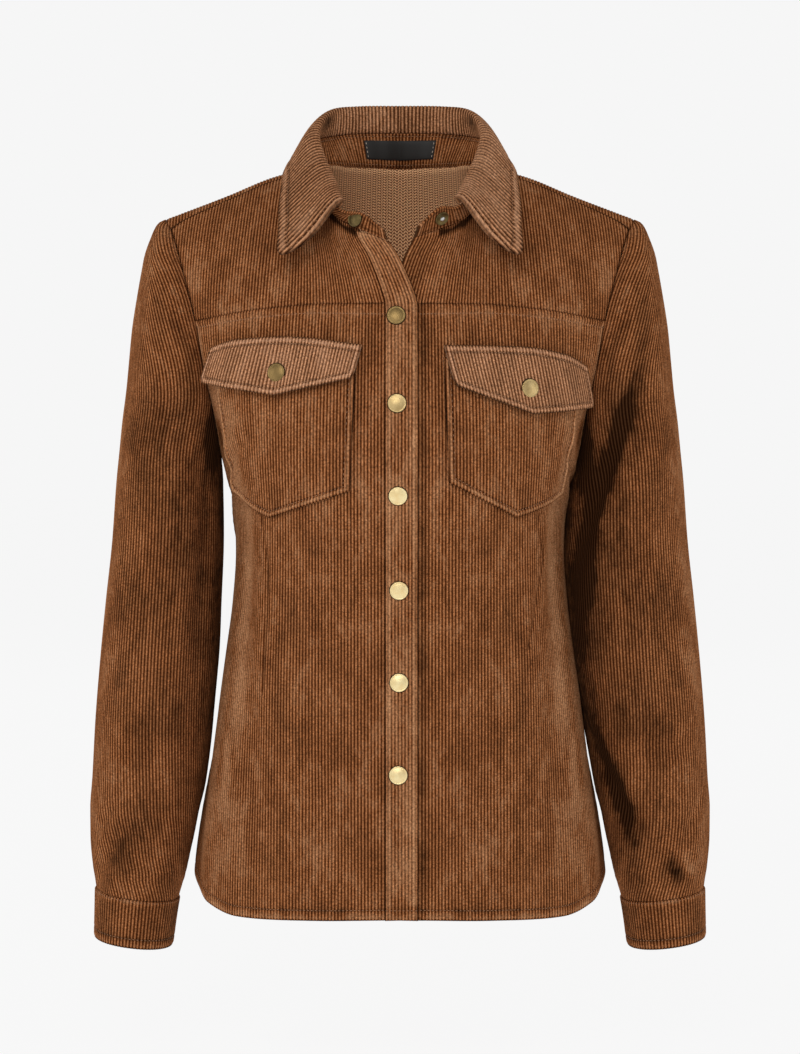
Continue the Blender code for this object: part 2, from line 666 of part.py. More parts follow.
def sleeve_at(side, share, height, inward=0.0):
    """A point of the sleeve. share is -1 at the back, 0 on the outer line, 1 at the front.

    Above the underarm a row stops at the armhole seam; below it the row closes on itself."""
    share, height = np.broadcast_arrays(np.asarray(share, float), np.asarray(height, float))

    def place(share, height):
        x, y, outer, wide = sleeve_ring(side, height, 0 * share)
        ends = []
        for seam in (ARM_FRONT, ARM_BACK):
            end_x = np.interp(height, seam[0], seam[1]) + ARMHOLE_GAP
            end_y = np.interp(height, seam[0], seam[2])
            turn = np.arccos(np.clip((end_x - outer + wide) / wide, -1, 1))
            ends.append((end_x, end_y, np.where(height < CAP_LOW, math.pi, turn)))
        front = share >= 0
        end_x, end_y, cut = (np.where(front, f, b) for f, b in zip(*ends))
        around = share * cut
        x, y, outer, wide = sleeve_ring(side, height, around)
        stop_x, stop_y, _, _ = sleeve_ring(side, height, np.where(front, cut, -cut))
        pull = np.where(height < CAP_LOW, 0, np.abs(share) ** SEAM_PULL)
        x = x + pull * (end_x - stop_x)
        y = y + pull * (end_y - stop_y)
        tilt = CUFF_TILT * (1 - ramp(height, CUFF_TOP, CUFF_TOP + 0.15))
        return np.stack([x, y, height + tilt * (x - outer + wide)], axis=-1), around

    here, around = place(share, height)
    across = place(share + SHARE_STEP, height)[0] - place(share - SHARE_STEP, height)[0]
    low = np.maximum(height - HEIGHT_STEP, SLEEVE["height"][-1])
    high = np.minimum(height + HEIGHT_STEP, SLEEVE["height"][0] - 0.0001)
    upward = place(share, high)[0] - place(share, low)[0]
    normal = unit(np.cross(upward, across))
    outwards = normal[..., 0] * np.cos(around) - normal[..., 1] * np.sin(around) > 0
    normal = np.where(outwards[..., None], normal, -normal)
    fold = folds_at(SLEEVE_FOLDS[side], around, height, around=True)
    fold = fold * np.where(height < CAP_LOW, 1, ramp(1 - np.abs(share), 0.0, 0.12))
    skived = np.maximum(ramp(np.abs(share), SKIVE_FROM, 1.0), ramp(height, *SKIVED_TIP))
    inward = inward * (1 - SKIVE * np.where(height < CAP_LOW, 0, skived))
    made = here + normal * (fold - inward)[..., None]
    body_wide = smooth(made[..., 2], BODY["height"], BODY["half_width"])
    deep = np.clip(np.abs(made[..., 1]) / BODY_DEPTH, 0, 1)
    beside = body_wide * (1 - deep**ROUNDNESS) ** (1 / ROUNDNESS)
    wall = np.where(np.cos(around) < 0, beside + BODY_CLEAR + inward, -1.0)
    made[..., 0] = np.where(height < CAP_LOW, np.maximum(made[..., 0], wall), made[..., 0])
    return made


# The heights of the sleeve's rows: the first ones end at the armhole, the others close on themselves.
CAP_ROWS = [-0.0484, -0.0510, -0.0570, -0.0670, -0.0810, -0.0990, -0.1220, -0.1500]
CAP_ROWS += [-0.1800, -0.2080, -0.2290]
ARM_ROWS = [-0.2335, -0.2480, -0.2700, -0.2960, -0.3240, -0.3520, -0.3790, -0.4040]
ARM_ROWS += [-0.4280, -0.4520, -0.4780, -0.5030, -0.5260, -0.5470, -0.5670, -0.5880]
SLEEVE_HEIGHTS = np.array(CAP_ROWS + ARM_ROWS + [CUFF_TOP + SEAM])


def sleeve(side, mirrored):
    def place(u, v, inward):
        height = SLEEVE_HEIGHTS[(v * (len(SLEEVE_HEIGHTS) - 1)).round().astype(int)]
        return sleeve_at(side, 2 * u - 1, height, inward)

    rows = len(SLEEVE_HEIGHTS) - 1
    sheet(f"sleeve_{side}", 20, rows, place, CLOTH, mirrored=mirrored, closed_from=len(CAP_ROWS) / rows)


CUFF_OUT = 0.0006  # how far the doubled cuff stands out of the sleeve's line


def cuff(side, mirrored):
    def place(u, v, inward):
        height = CUFF_BOTTOM + v * (CUFF_TOP - CUFF_BOTTOM)
        return sleeve_at(side, 2 * u - 1, height, inward - CUFF_OUT)

    sheet(f"cuff_{side}", 20, 2, place, DOUBLE, mirrored=mirrored, closed_from=0)


# ------------------------------------------------------------------ the collar
# Each row is one station of the wearer's left half, from the centre back to the front end. The neck
# seam is on the body form; the stand rises from it, and the fall rolls over and comes down outside.
COLLAR = table(
    "stand_x stand_y stand_z roll_x roll_y roll_z edge_x edge_y edge_z",
    (0.0000, 0.0480, 0.0245, 0.0000, 0.0530, 0.0471, 0.0000, 0.0760, -0.0060),
    (0.0335, 0.0435, 0.0240, 0.0345, 0.0495, 0.0466, 0.0480, 0.0700, -0.0070),
    (0.0575, 0.0290, 0.0210, 0.0580, 0.0340, 0.0425, 0.0800, 0.0460, -0.0090),
    (0.0690, 0.0020, 0.0150, 0.0690, 0.0050, 0.0260, 0.0970, 0.0030, -0.0060),
    (0.0650, -0.0250, -0.0050, 0.0635, -0.0220, 0.0045, 0.0970, -0.0420, -0.0240),
    (0.0570, -0.0550, -0.0230, 0.0545, -0.0530, -0.0150, 0.0975, -0.0740, -0.0500),
    (0.0470, -0.0810, -0.0410, 0.0465, -0.0830, -0.0350, 0.0925, -0.1020, -0.0770),
    (0.0300, -0.0880, -0.0460, 0.0300, -0.0880, -0.0460, 0.0300, -0.0880, -0.0460),
    (0.0120, -0.0910, -0.0580, 0.0120, -0.0910, -0.0580, 0.0120, -0.0910, -0.0580),
)
NECK_STATIONS = [(0.0, True), (0.033, True), (0.058, True), (NECK_ACROSS, True), (0.075, False)]
NECK_STATIONS += [(0.060, False), (0.044, False), (0.012, False), (OVERLAP_EDGE, False)]
# The front ends of the stand's upper edge differ: the wearer's left end stands up higher.
STAND_ENDS = {
    -1: [(0.0470, -0.0815, -0.0400), (0.0300, -0.0890, -0.0430), (0.0120, -0.0915, -0.0565)],
    1: [(0.0462, -0.0810, -0.0372), (0.0310, -0.0895, -0.0385), (0.0135, -0.0925, -0.0540)],
}
FALL_END = 6  # the station where the fall stops; the stand goes on to the front edge
COLLAR_WALL = 0.0024
OVER_LIFT_ENDS = (0.014, 0.040)  # across, where the right end of the stand comes down to the panel
ROLL = 0.0055  # how far inside the roll line the cloth starts to turn
ROLL_OVER = 0.0098  # how far outside it the cloth swings before it falls
BELLY, BELLY_AT = 0.003, 0.45  # how far the leaf stands off a straight line, and where
INSIDE_SHARE = 1 / 2.4  # the share of the fall's grid that is inside the roll


def neck_seam(side):
    """The neck seam's stations on the body form."""
    points = []
    for across, back in NECK_STATIONS:
        if back:
            height = np.interp(across, *np.array(NECK_BACK + [(NECK_ACROSS, NECK_POINT_HEIGHT)]).T)
            points.append(body_at(BACK, across, BACK.find_up(across, height), 0.0))
        else:
            edge = max(across, FRONT_EDGE[side])
            lift = OVER_LIFT * (1 - ramp(edge, *OVER_LIFT_ENDS)) if side == "right" else 0.0
            points.append(body_at(FRONT, edge, np.interp(edge, *neck_front(side)), lift, side))
    return np.array(points).reshape(-1, 3)


def station(points, at):
    """A smooth line through the collar's stations."""
    tangent = np.gradient(points, axis=0)
    i = np.clip(np.floor(at).astype(int), 0, len(points) - 2)
    s = (at - i)[..., None]
    a, b = points[i], points[i + 1]
    start = a * (1 + 2 * s) * (1 - s) ** 2 + tangent[i] * s * (1 - s) ** 2
    return start + b * s * s * (3 - 2 * s) + tangent[i + 1] * s * s * (s - 1)


def points_of(name):
    return np.stack([COLLAR[f"{name}_{axis}"] for axis in "xyz"], axis=-1)


def collar_line(name, at, half):
    """Points of one line of the collar, half being 1 on the wearer's left and -1 on the right."""
    sides = []
    for end in (1, -1):
        moved = points_of(name)
        if name == "stand":
            moved[FALL_END:] = STAND_ENDS[end]
        elif name == "roll":
            moved[FALL_END] += np.array(STAND_ENDS[end][0]) - points_of("stand")[FALL_END]
        sides.append(station(moved, at))
    return np.where((half > 0)[..., None], *sides)


def collar_face(face):
    """place(u, v, inward) for one collar piece, with u from the right end to the left end."""

    def place(u, v, inward):
        def both(u, v):
            half = face(np.abs(2 * u - 1), v, np.where(u > 0.5, 1, -1))
            half[..., 0] *= np.where(u < 0.5, -1, 1)
            return half

        step = COLLAR_STEP
        along = both(np.clip(u + step, 0, 1), v) - both(np.clip(u - step, 0, 1), v)
        rise = both(u, np.clip(v + step, 0, 1)) - both(u, np.clip(v - step, 0, 1))
        return both(u, v) - unit(np.cross(along, rise)) * inward[..., None]

    return place


COLLAR_STEP = 0.002  # between the points that give the collar its direction
NECK_SEAMS = {1: neck_seam("left"), -1: neck_seam("right")}
STAND_CLEAR = 0.0021  # from the body panels' edge and from the fall, along the stand


def stand_face(share, v, half):
    at = share * (len(NECK_STATIONS) - 1)
    low = np.where((half > 0)[..., None], station(NECK_SEAMS[1], at), station(NECK_SEAMS[-1], at))
    high = collar_line("stand", at, half)
    rise = unit(high - low)
    low, high = low + rise * STAND_CLEAR, high - rise * STAND_CLEAR
    return low + (high - low) * v[..., None]


def fall_face(share, v, half):
    """Up the inside, over the roll and down the outside to the edge of the leaf."""
    at = share * FALL_END
    low, roll, edge = (collar_line(name, at, half) for name in ("stand", "roll", "edge"))
    along = collar_line("roll", at + 0.02, half) - collar_line("roll", at - 0.02, half)
    leaf = edge - roll
    out = unit(leaf * [1, 1, 0] - unit(along) * (leaf * [1, 1, 0] * unit(along)).sum(-1, keepdims=True))
    start = roll - out * ROLL
    v = v[..., None]
    rise = np.clip(v / INSIDE_SHARE, 0, 1)
    inside = (1 - rise) ** 2 * low + 2 * rise * (1 - rise) * start + rise**2 * roll
    fall = np.clip((v - INSIDE_SHARE) / (1 - INSIDE_SHARE), 0, 1)
    lean = roll + out * ROLL_OVER
    belly = roll + BELLY_AT * (edge - roll) + out * BELLY
    outside = (
        (1 - fall) ** 3 * roll
        + 3 * (1 - fall) ** 2 * fall * lean
        + 3 * (1 - fall) * fall**2 * belly
        + fall**3 * edge
    )
    return np.where(v < INSIDE_SHARE, inside, outside)


def collar():
    sheet("collar_stand", 24, 3, collar_face(stand_face), COLLAR_WALL)
    sheet("collar_fall", 26, 12, collar_face(fall_face), COLLAR_WALL, CORDUROY_LIGHT)


# ------------------------------------------------------------------ snaps and label
SNAP_RADIUS, COLLAR_CAP_RADIUS, STUD_RADIUS = 0.0075, 0.0062, 0.0060
SNAP_SIDES = 14
# Half profiles in shares of the radius: a shallow dome with a rounded rim, and a ring round a stud.
CAP = [(0, 0), (0.93, 0), (1.0, 0.06), (0.97, 0.15), (0.86, 0.19), (0.5, 0.235), (0, 0.25)]
STUD = [(0, 0), (0.95, 0), (1.0, 0.08), (0.95, 0.2), (0.75, 0.2), (0.62, 0.1), (0.42, 0.1)]
STUD += [(0.36, 0.3), (0.2, 0.38), (0, 0.4)]
CURVED_GAP = 0.0011  # under the middle of a flat-backed cap that lies on hollow cloth
FLAP_SNAP_V = 0.38  # up the flap from its lower edge
STAND_SNAP_U = 0.068  # along the stand, from either end
LABEL_HALF_U, LABEL_LOW, LABEL_HIGH, LABEL_WALL = 0.058, 0.22, 0.72, 0.0005
SNAPS = table(
    "across height",
    (0.0030, -0.1255),
    (0.0024, -0.1940),
    (0.0016, -0.2665),
    (0.0008, -0.3435),
    (0.0008, -0.4180),
    (0.0014, -0.4920),
)


def turned(name, radius, profile, centre, facing, colour):
    """A round metal piece from its half profile, set on the cloth with its flat back down."""
    bm = bmesh.new()
    verts = [bm.verts.new((x * radius, 0, z * radius)) for x, z in profile]
    edges = [bm.edges.new(pair) for pair in zip(verts, verts[1:])]
    bmesh.ops.spin(
        bm, geom=verts + edges, axis=(0, 0, 1), angle=2 * math.pi, steps=SNAP_SIDES, use_merge=True
    )
    bmesh.ops.remove_doubles(bm, verts=bm.verts, dist=1e-6)
    turn = Vector(facing).to_track_quat("Z", "Y").to_matrix().to_4x4()
    bm.transform(Matrix.Translation(centre) @ turn)
    add(name, bm, colour, roughness=0.35, metallic=1.0)


def front_snap(name, across, height):
    """A cap on the overlapping placket."""
    flip = np.array([-1, 1, 1])
    up = float(FRONT.find_up(across, height))
    on_cloth, beyond = (
        body_at(FRONT, across, up, OVER_LIFT + ON_TOP + step, "right") * flip for step in (0, 0.001)
    )
    turned(name, SNAP_RADIUS, CAP, on_cloth, unit(beyond - on_cloth), BRASS)


def snap_on(name, place, u, v, lift, facing, mirrored, radius, profile, colour):
    """A snap part on a sheet, over the place (u, v), along facing from the sheet's inward."""
    u, v = np.array([u]), np.array([v])
    on_cloth, beyond = (place(u, v, np.array([lift + facing * step]))[0] for step in (0, 0.001))
    flip = np.array([-1, 1, 1]) if mirrored else np.array([1, 1, 1])
    turned(name, radius, profile, on_cloth * flip, unit(beyond - on_cloth) * flip, colour)


def snaps():
    for number, (across, height) in enumerate(zip(SNAPS["across"], SNAPS["height"]), 1):
        front_snap(f"snap_{number}", across, height)
    for side, mirrored in (("right", True), ("left", False)):
        at = (flap_place(side), 0.5, FLAP_SNAP_V, -CURVED_GAP, -1, mirrored)
        snap_on(f"flap_snap_{side}", *at, SNAP_RADIUS, CAP, BRASS)
    stand, behind = collar_face(stand_face), COLLAR_WALL + CURVED_GAP
    at = (stand, STAND_SNAP_U, 0.5, behind, 1, False)
    snap_on("collar_snap", *at, COLLAR_CAP_RADIUS, CAP, DARK_BRASS)
    at = (stand, 1 - STAND_SNAP_U, 0.5, behind, 1, False)
    snap_on("collar_stud", *at, STUD_RADIUS, STUD, DARK_BRASS)


def neck_label():
    """The woven label on the inside of the stand, seen through the neck. It is bare."""
    stand = collar_face(stand_face)

    def place(u, v, inward):
        u = 0.5 + (2 * u - 1) * LABEL_HALF_U
        v = LABEL_LOW + v * (LABEL_HIGH - LABEL_LOW)
        return stand(u, v, inward - LABEL_WALL - PATCH_GAP)

    sheet("neck_label", 6, 1, place, LABEL_WALL, LABEL)


# ------------------------------------------------------------------ run
for old in list(bpy.data.objects):
    bpy.data.objects.remove(old)
for which, flip in (("right", True), ("left", False)):
    front_panel(which, flip)
    front_yoke(which, flip)
    placket(which, flip, OVER_LIFT if which == "right" else UNDER_LIFT)
    pocket(which, flip)
    flap(which, flip)
    sleeve(which, flip)
    cuff(which, flip)
back_panel()
collar()
snaps()
neck_label()
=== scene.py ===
# %% [markdown]
# # A corduroy shirt jacket in Blender
#
# The jacket is worn: its front, back and sleeves are filled out, although nobody is in it. Each cut
# piece of cloth becomes one mesh. The pieces are laid on three smooth forms, the body, the sleeve and
# the collar, so they meet at their seams. The ribs of the corduroy are real ridges in the mesh, because
# a bump alone would leave the edges and the silhouette smooth.

import math

import bmesh
import bpy
import numpy as np
from mathutils import Matrix, Vector


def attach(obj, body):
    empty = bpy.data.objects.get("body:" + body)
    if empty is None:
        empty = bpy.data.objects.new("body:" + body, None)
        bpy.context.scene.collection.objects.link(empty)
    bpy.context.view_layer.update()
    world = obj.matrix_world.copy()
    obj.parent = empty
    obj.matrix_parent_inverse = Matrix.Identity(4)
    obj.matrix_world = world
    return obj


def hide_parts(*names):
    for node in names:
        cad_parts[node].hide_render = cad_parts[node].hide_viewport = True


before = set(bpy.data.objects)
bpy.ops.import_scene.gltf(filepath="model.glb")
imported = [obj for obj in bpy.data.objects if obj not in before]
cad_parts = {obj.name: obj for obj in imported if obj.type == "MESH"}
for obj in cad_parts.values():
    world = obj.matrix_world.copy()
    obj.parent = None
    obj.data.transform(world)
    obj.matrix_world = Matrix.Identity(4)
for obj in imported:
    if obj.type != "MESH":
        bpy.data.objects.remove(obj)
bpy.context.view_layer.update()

# %% [markdown]
# ## Size tables and smooth curves
#
# A garment's shape is easiest to keep as a few tables: a row for each height, with its width and depth.
# A monotone cubic runs through the rows, so the cloth bends softly and never swings past a value.

# %% Tables and curves
def table(columns, *rows):
    """The rows of a size table as one array for each named column."""
    return dict(zip(columns.split(), np.array(rows, float).T))


FOLDS = "place height depth width length lean"  # the columns of a table of soft troughs and ridges


def cubic(a, b, leave, arrive, s):
    """A curve from a to b, as s goes from 0 to 1, with these slopes at its two ends."""
    start = a * (1 + 2 * s) * (1 - s) ** 2 + leave * s * (1 - s) ** 2
    return start + b * s * s * (3 - 2 * s) + arrive * s * s * (s - 1)


def smooth(at, xs, ys):
    """A smooth curve through a table's points that never overshoots them."""
    at, xs, ys = np.asarray(at, float), np.asarray(xs, float), np.asarray(ys, float)
    step = np.diff(xs)
    rise = np.diff(ys) / step
    slope = np.zeros(len(xs))
    slope[0], slope[-1] = rise[0], rise[-1]
    same = rise[1:] * rise[:-1] > 0
    slope[1:-1][same] = 2 * rise[1:][same] * rise[:-1][same] / (rise[1:] + rise[:-1])[same]
    at = np.clip(at, xs[0], xs[-1])
    i = np.clip(np.searchsorted(xs, at) - 1, 0, len(step) - 1)
    return cubic(ys[i], ys[i + 1], slope[i] * step[i], slope[i + 1] * step[i], (at - xs[i]) / step[i])


def ramp(x, start, end):
    """0 at start, 1 at end, with a soft change between them."""
    s = np.clip((np.asarray(x, float) - start) / (end - start), 0, 1)
    return s * s * (3 - 2 * s)


def unit(v):
    """Vectors brought to length 1."""
    return v / np.maximum(np.linalg.norm(v, axis=-1, keepdims=True), 1e-12)


def bell(away, reach):
    """1 where away is 0, fading softly to nothing past the reach."""
    return np.exp(-((away / reach) ** 2))


def run_along(points):
    """How far along a line of points each of them lies."""
    return np.concatenate([[0], np.cumsum(np.linalg.norm(np.diff(points, axis=0), axis=1))])


def on_line(points, run, at):
    """Points of a line at these distances along it."""
    return np.stack([np.interp(at, run, axis) for axis in points.T], axis=-1)


def on_grid(points, row, column):
    """Points between those of a grid, at parts of a row and of a column."""
    i = np.minimum(row.astype(int), points.shape[0] - 2)
    j = np.minimum(column.astype(int), points.shape[1] - 2)
    s, q = (row - i)[..., None], (column - j)[..., None]
    low = (1 - q) * points[i, j] + q * points[i, j + 1]
    high = (1 - q) * points[i + 1, j] + q * points[i + 1, j + 1]
    return (1 - s) * low + s * high


# %% [markdown]
# ## The body form
#
# A tailor would drape on a dress form. Here the form is worked out from level sections: each row is a
# rounded oval, and above the chest the rows lean together until they meet on the shoulder ridge. A
# place on it is (across, up): across is measured round the body from the centre, so a line of constant
# across is a thread of the cloth, and up runs from the chest line to the ridge.

# %% Sizes of the body form
CLOTH = 0.0018  # the corduroy wall
DOUBLE = 0.0022  # collar, cuffs, flaps and plackets are two layers, pressed
SEAM = 0.0004  # the gap that stands for a sewn seam
HALF_SEAM = SEAM / 2
ON_TOP = 0.0004  # the gap under a patch, strip or cap that lies on a panel
NORMAL_STEP = 0.004  # how far apart the points lie that give a form its direction
CHEST = -0.250  # height of the chest line, above which the rows lean over the shoulders
OVER = 0.300  # up, from the chest line to the shoulder ridge
LOWEST = -0.385  # up, of the lowest row
ROUNDNESS = 2.3  # of a level section: 2 is an ellipse, more is squarer
SHOULDER_CURVE = 1.8  # of the side profile from the chest line over the shoulder
SHOULDER_TIP = 0.192  # from the centre to the sleeve seam, at the top of the shoulder
SHOULDER_TIP_HEIGHT = -0.048
NECK_POINT = 0.074  # from the centre to the collar seam, on the shoulder ridge
SEAM_FORWARD = 0.010  # how far the shoulder seam lies in front of the ridge
UNDERARM = 0.0168  # up, of the lowest point of the armhole
ROWS, COLUMNS, FURTHEST = 260, 250, 0.250  # of the form's own grid, and how far across it reaches
# The wearer's sides. Every piece is made on +X, the wearer's left, and the right ones are mirrored.
SIDES = (("right", True), ("left", False))
BODY = table(
    "height half_width front_depth back_depth",
    (-0.640, 0.1755, 0.1220, 0.1240),
    (-0.583, 0.1713, 0.1210, 0.1220),
    (-0.541, 0.1660, 0.1180, 0.1180),
    (-0.500, 0.1592, 0.1150, 0.1140),
    (-0.450, 0.1493, 0.1120, 0.1080),
    (-0.400, 0.1411, 0.1090, 0.1010),
    (-0.364, 0.1369, 0.1090, 0.0970),
    (-0.326, 0.1351, 0.1120, 0.0960),
    (-0.288, 0.1370, 0.1190, 0.0990),
    (-0.250, 0.1455, 0.1250, 0.1050),
    (-0.200, 0.1600, 0.1240, 0.1100),
    (-0.150, 0.1790, 0.1180, 0.1120),
    (-0.100, 0.1950, 0.1090, 0.1100),
    (-0.045, 0.2040, 0.0980, 0.1050),
)
RIDGE = table(
    "across height",
    (-0.030, 0.0260),
    (0.000, 0.0440),
    (0.030, 0.0260),
    (0.062, 0.0000),
    (0.110, -0.0157),
    (0.140, -0.0282),
    (SHOULDER_TIP, SHOULDER_TIP_HEIGHT),
    (0.230, -0.0620),
)
ARMHOLE = table(
    "height from_centre",
    (-0.240, 0.1700),
    (-0.232, 0.1485),
    (-0.222, 0.1495),
    (-0.200, 0.1535),
    (-0.170, 0.1600),
    (-0.127, 0.1675),
    (-0.101, 0.1745),
    (-0.066, 0.1850),
    (SHOULDER_TIP_HEIGHT, SHOULDER_TIP),
)
# The front isn't fastened above the first snap, and its edges fall apart there.
OPENING = table(
    "height share",
    (-0.1150, 0.00),
    (-0.104, 0.14),
    (-0.078, 0.58),
    (-0.058, 1.00),
    (-0.042, 1.00),
    (-0.002, 0.00),
)
OPEN_BY = {"right": 0.0265, "left": 0.0205}  # how far each edge moves aside at the neck
OPEN_REACH = 0.120  # the cloth further across than this stays in place
OPEN_ROLL = {"right": 0.0055, "left": 0.0025}  # how far each parted edge rolls forward
# Soft folds of the body cloth, each a trough (negative) or a ridge in the form.
BODY_FOLDS = table(
    FOLDS,
    (0.150, -0.330, -0.0040, 0.016, 0.080, 0.10),
    (0.115, -0.400, 0.0025, 0.018, 0.090, 0.05),
    (0.178, -0.420, 0.0035, 0.020, 0.090, -0.05),
    (0.060, -0.540, -0.0025, 0.020, 0.070, 0.35),
    (0.205, -0.520, -0.0030, 0.020, 0.080, 0.05),
)


def folds_at(folds, across, height, around=False):
    """How far the cloth stands out of its form, from a table of soft troughs and ridges."""
    out = np.zeros(np.broadcast(across, height).shape)
    for k in range(len(folds["depth"])):
        down = height - folds["height"][k]
        side = across - folds["place"][k] - folds["lean"][k] * down
        if around:
            side = (side + math.pi) % (2 * math.pi) - math.pi
        reach = (side / folds["width"][k]) ** 2 + (down / folds["length"][k]) ** 2
        out = out + folds["depth"][k] * np.exp(-reach)
    return out


# %% The body form, looked up by (across, up)
class BodyForm:
    """The front or the back of the body, looked up by (across, up)."""

    def __init__(self, back):
        self.facing = -1 if back else 1
        self.ups = np.linspace(LOWEST, OVER, ROWS)
        self.points = np.empty((ROWS, COLUMNS, 3))
        self.side = np.empty(ROWS)
        self.armhole = np.empty(ROWS)
        across = np.linspace(0, FURTHEST, COLUMNS)
        for i, up in enumerate(self.ups):
            row = self.row(up)
            run = run_along(row)
            self.side[i] = run[-1]
            past = np.maximum(across - run[-1], 0)
            self.points[i] = on_line(row, run, across)
            self.points[i, :, 1] += past * self.facing
            cut = row[:, 0] - smooth(row[:, 2], ARMHOLE["height"], ARMHOLE["from_centre"])
            beyond = np.argmax(cut > 0) if (cut > 0).any() else 0
            self.armhole[i] = run[-1]
            if beyond:
                share = cut[beyond] / (cut[beyond] - cut[beyond - 1])
                self.armhole[i] = run[beyond] - share * (run[beyond] - run[beyond - 1])

    def row(self, up):
        """Points of one row, from the centre to the side."""
        turn = np.linspace(0, math.pi / 2, 200)
        lift = math.sin(math.pi / 2 * min(max(up / OVER, 0), 1))
        level = CHEST + up if up < 0 else CHEST + (SHOULDER_TIP_HEIGHT - CHEST) * lift
        wide = smooth(level, BODY["height"], BODY["half_width"])
        deep = smooth(level, BODY["height"], BODY["front_depth" if self.facing > 0 else "back_depth"])
        deep = deep * (1 - lift**SHOULDER_CURVE) ** (1 / SHOULDER_CURVE)
        x = wide * np.sin(turn) ** (2 / ROUNDNESS)
        y = -self.facing * deep * np.cos(turn) ** (2 / ROUNDNESS)
        top = smooth(x, RIDGE["across"], RIDGE["height"])
        z = np.full_like(x, level) if up < 0 else CHEST + (top - CHEST) * lift
        return np.stack([x, y, z], axis=1)

    def at(self, across, up):
        """Points of the form, between those of its grid."""
        row = (np.clip(up, LOWEST, OVER) - LOWEST) / (OVER - LOWEST) * (ROWS - 1)
        column = np.clip(np.abs(across), 0, FURTHEST) / FURTHEST * (COLUMNS - 1)
        mirror = np.where(across < 0, -1, 1)[..., None] ** np.array([1, 0, 0])
        return on_grid(self.points, row, column) * mirror

    def side_at(self, up):
        return np.interp(up, self.ups, self.side)

    def armhole_at(self, up):
        return np.interp(up, self.ups, self.armhole)

    def find_up(self, across, value, axis=2):
        """The up at which the column at this distance across reaches a height (or, above, a y)."""
        across, value = np.broadcast_arrays(np.asarray(across, float), np.asarray(value, float))
        column = np.clip(np.abs(across) / FURTHEST * (COLUMNS - 1), 0, COLUMNS - 1).round().astype(int)
        rows = self.ups > (LOWEST - 1 if axis == 2 else OVER / 2)
        pairs = zip(column.ravel(), value.ravel())
        ups = [np.interp(v, self.points[rows, c, axis], self.ups[rows]) for c, v in pairs]
        return np.array(ups).reshape(across.shape)


FRONT, BACK = BodyForm(back=False), BodyForm(back=True)
print("half girth at the chest:", round(float(FRONT.side_at(0) + BACK.side_at(0)), 3))

# %% [markdown]
# ## Small folds
#
# The large folds are in the solids too. These small ones only the cloth needs: soft dents beside the
# bust, drag lines under the arm and a slack hem, each of them a bell-shaped trough or ridge.

# %% Small folds of the body
SMALL_FOLDS = table(
    FOLDS,
    (0.185, -0.262, -0.0022, 0.007, 0.030, -1.2),
    (0.196, -0.290, 0.0016, 0.008, 0.034, -0.8),
    (0.170, -0.235, 0.0014, 0.008, 0.030, -1.0),
    (0.120, -0.372, -0.0016, 0.010, 0.050, 0.05),
    (0.095, -0.455, 0.0014, 0.012, 0.060, 0.02),
    (0.135, -0.500, -0.0018, 0.014, 0.070, -0.04),
    (0.040, -0.430, 0.0010, 0.010, 0.080, 0.02),
    (0.190, -0.560, 0.0018, 0.013, 0.050, 0.10),
    (0.085, -0.575, -0.0012, 0.013, 0.035, 0.10),
    (0.105, -0.090, -0.0010, 0.014, 0.020, 0.30),
)


def body_at(form, across, up, lift, side="left"):
    """Points of the body cloth, moved out by lift. Above the ridge a back comes down in front."""
    across, up = np.broadcast_arrays(np.asarray(across, float), np.asarray(up, float))

    def place(a, u):
        if form is BACK:
            over = np.maximum(u - OVER, 0)
            return np.where((over > 0)[..., None], FRONT.at(a, OVER - over), BACK.at(a, u))
        here = FRONT.at(a, u)
        share = smooth(here[..., 2], OPENING["height"], OPENING["share"])
        near = 1 - ramp(a, -0.02, OPEN_REACH)
        here[..., 0] += OPEN_BY[side] * share * near
        here[..., 1] -= OPEN_ROLL[side] * share * near**2
        return here

    here = place(across, up)
    along = place(across + NORMAL_STEP, up) - place(across - NORMAL_STEP, up)
    upward = place(across, up + NORMAL_STEP) - place(across, up - NORMAL_STEP)
    normal = unit(np.cross(along, upward)) * form.facing
    out = np.asarray(lift) + folds_at(BODY_FOLDS, np.abs(across), here[..., 2])
    if side in ("left", "right"):
        turned = np.abs(across) + (0.006 if side == "right" else 0)
        out = out + folds_at(SMALL_FOLDS, turned, here[..., 2])
    return here + normal * np.broadcast_to(out, across.shape)[..., None]


def front_place(side):
    """place(across, up, lift) of what is laid on one front."""
    return lambda a, u, out: body_at(FRONT, a, u, out, side)


# %% [markdown]
# ## Corduroy ribs
#
# Corduroy has raised wales with a narrow groove between them, 2.7 mm apart here. Four columns of points
# a wale are enough: one in the groove, one on the crest and two on the round shoulders between them.
# The columns are laid out in the flat cloth first, and only then placed on the form, so that the ribs
# follow the grain, as they do on cut cloth.

# %% Rib columns and their height
WALE = 0.0027
RIB_HEIGHT = 0.00058
RIB_SHOULDER = 0.29  # how far from the crest a rib's shoulder lies, in shares of a wale


def wale_columns(start, end):
    """Places of the columns from start to end, four to a wale, with the two ends among them."""
    numbers = np.arange(math.floor(start / WALE) - 1, math.ceil(end / WALE) + 2)
    spots = (numbers[:, None] + np.array([-0.5, -RIB_SHOULDER, 0, RIB_SHOULDER])).ravel() * WALE
    spots = spots[(spots > start + 0.0003) & (spots < end - 0.0003)]
    return np.concatenate([[start], spots, [end]])


def grid_of(rows, columns):
    """The columns' places once for each row."""
    return np.broadcast_to(columns, (len(rows), len(columns)))


def rib(across):
    """1 on the crest of a wale and 0 in the groove."""
    off = np.abs(np.asarray(across) / WALE - np.round(np.asarray(across) / WALE)) * 2
    return 1 - off**2.6


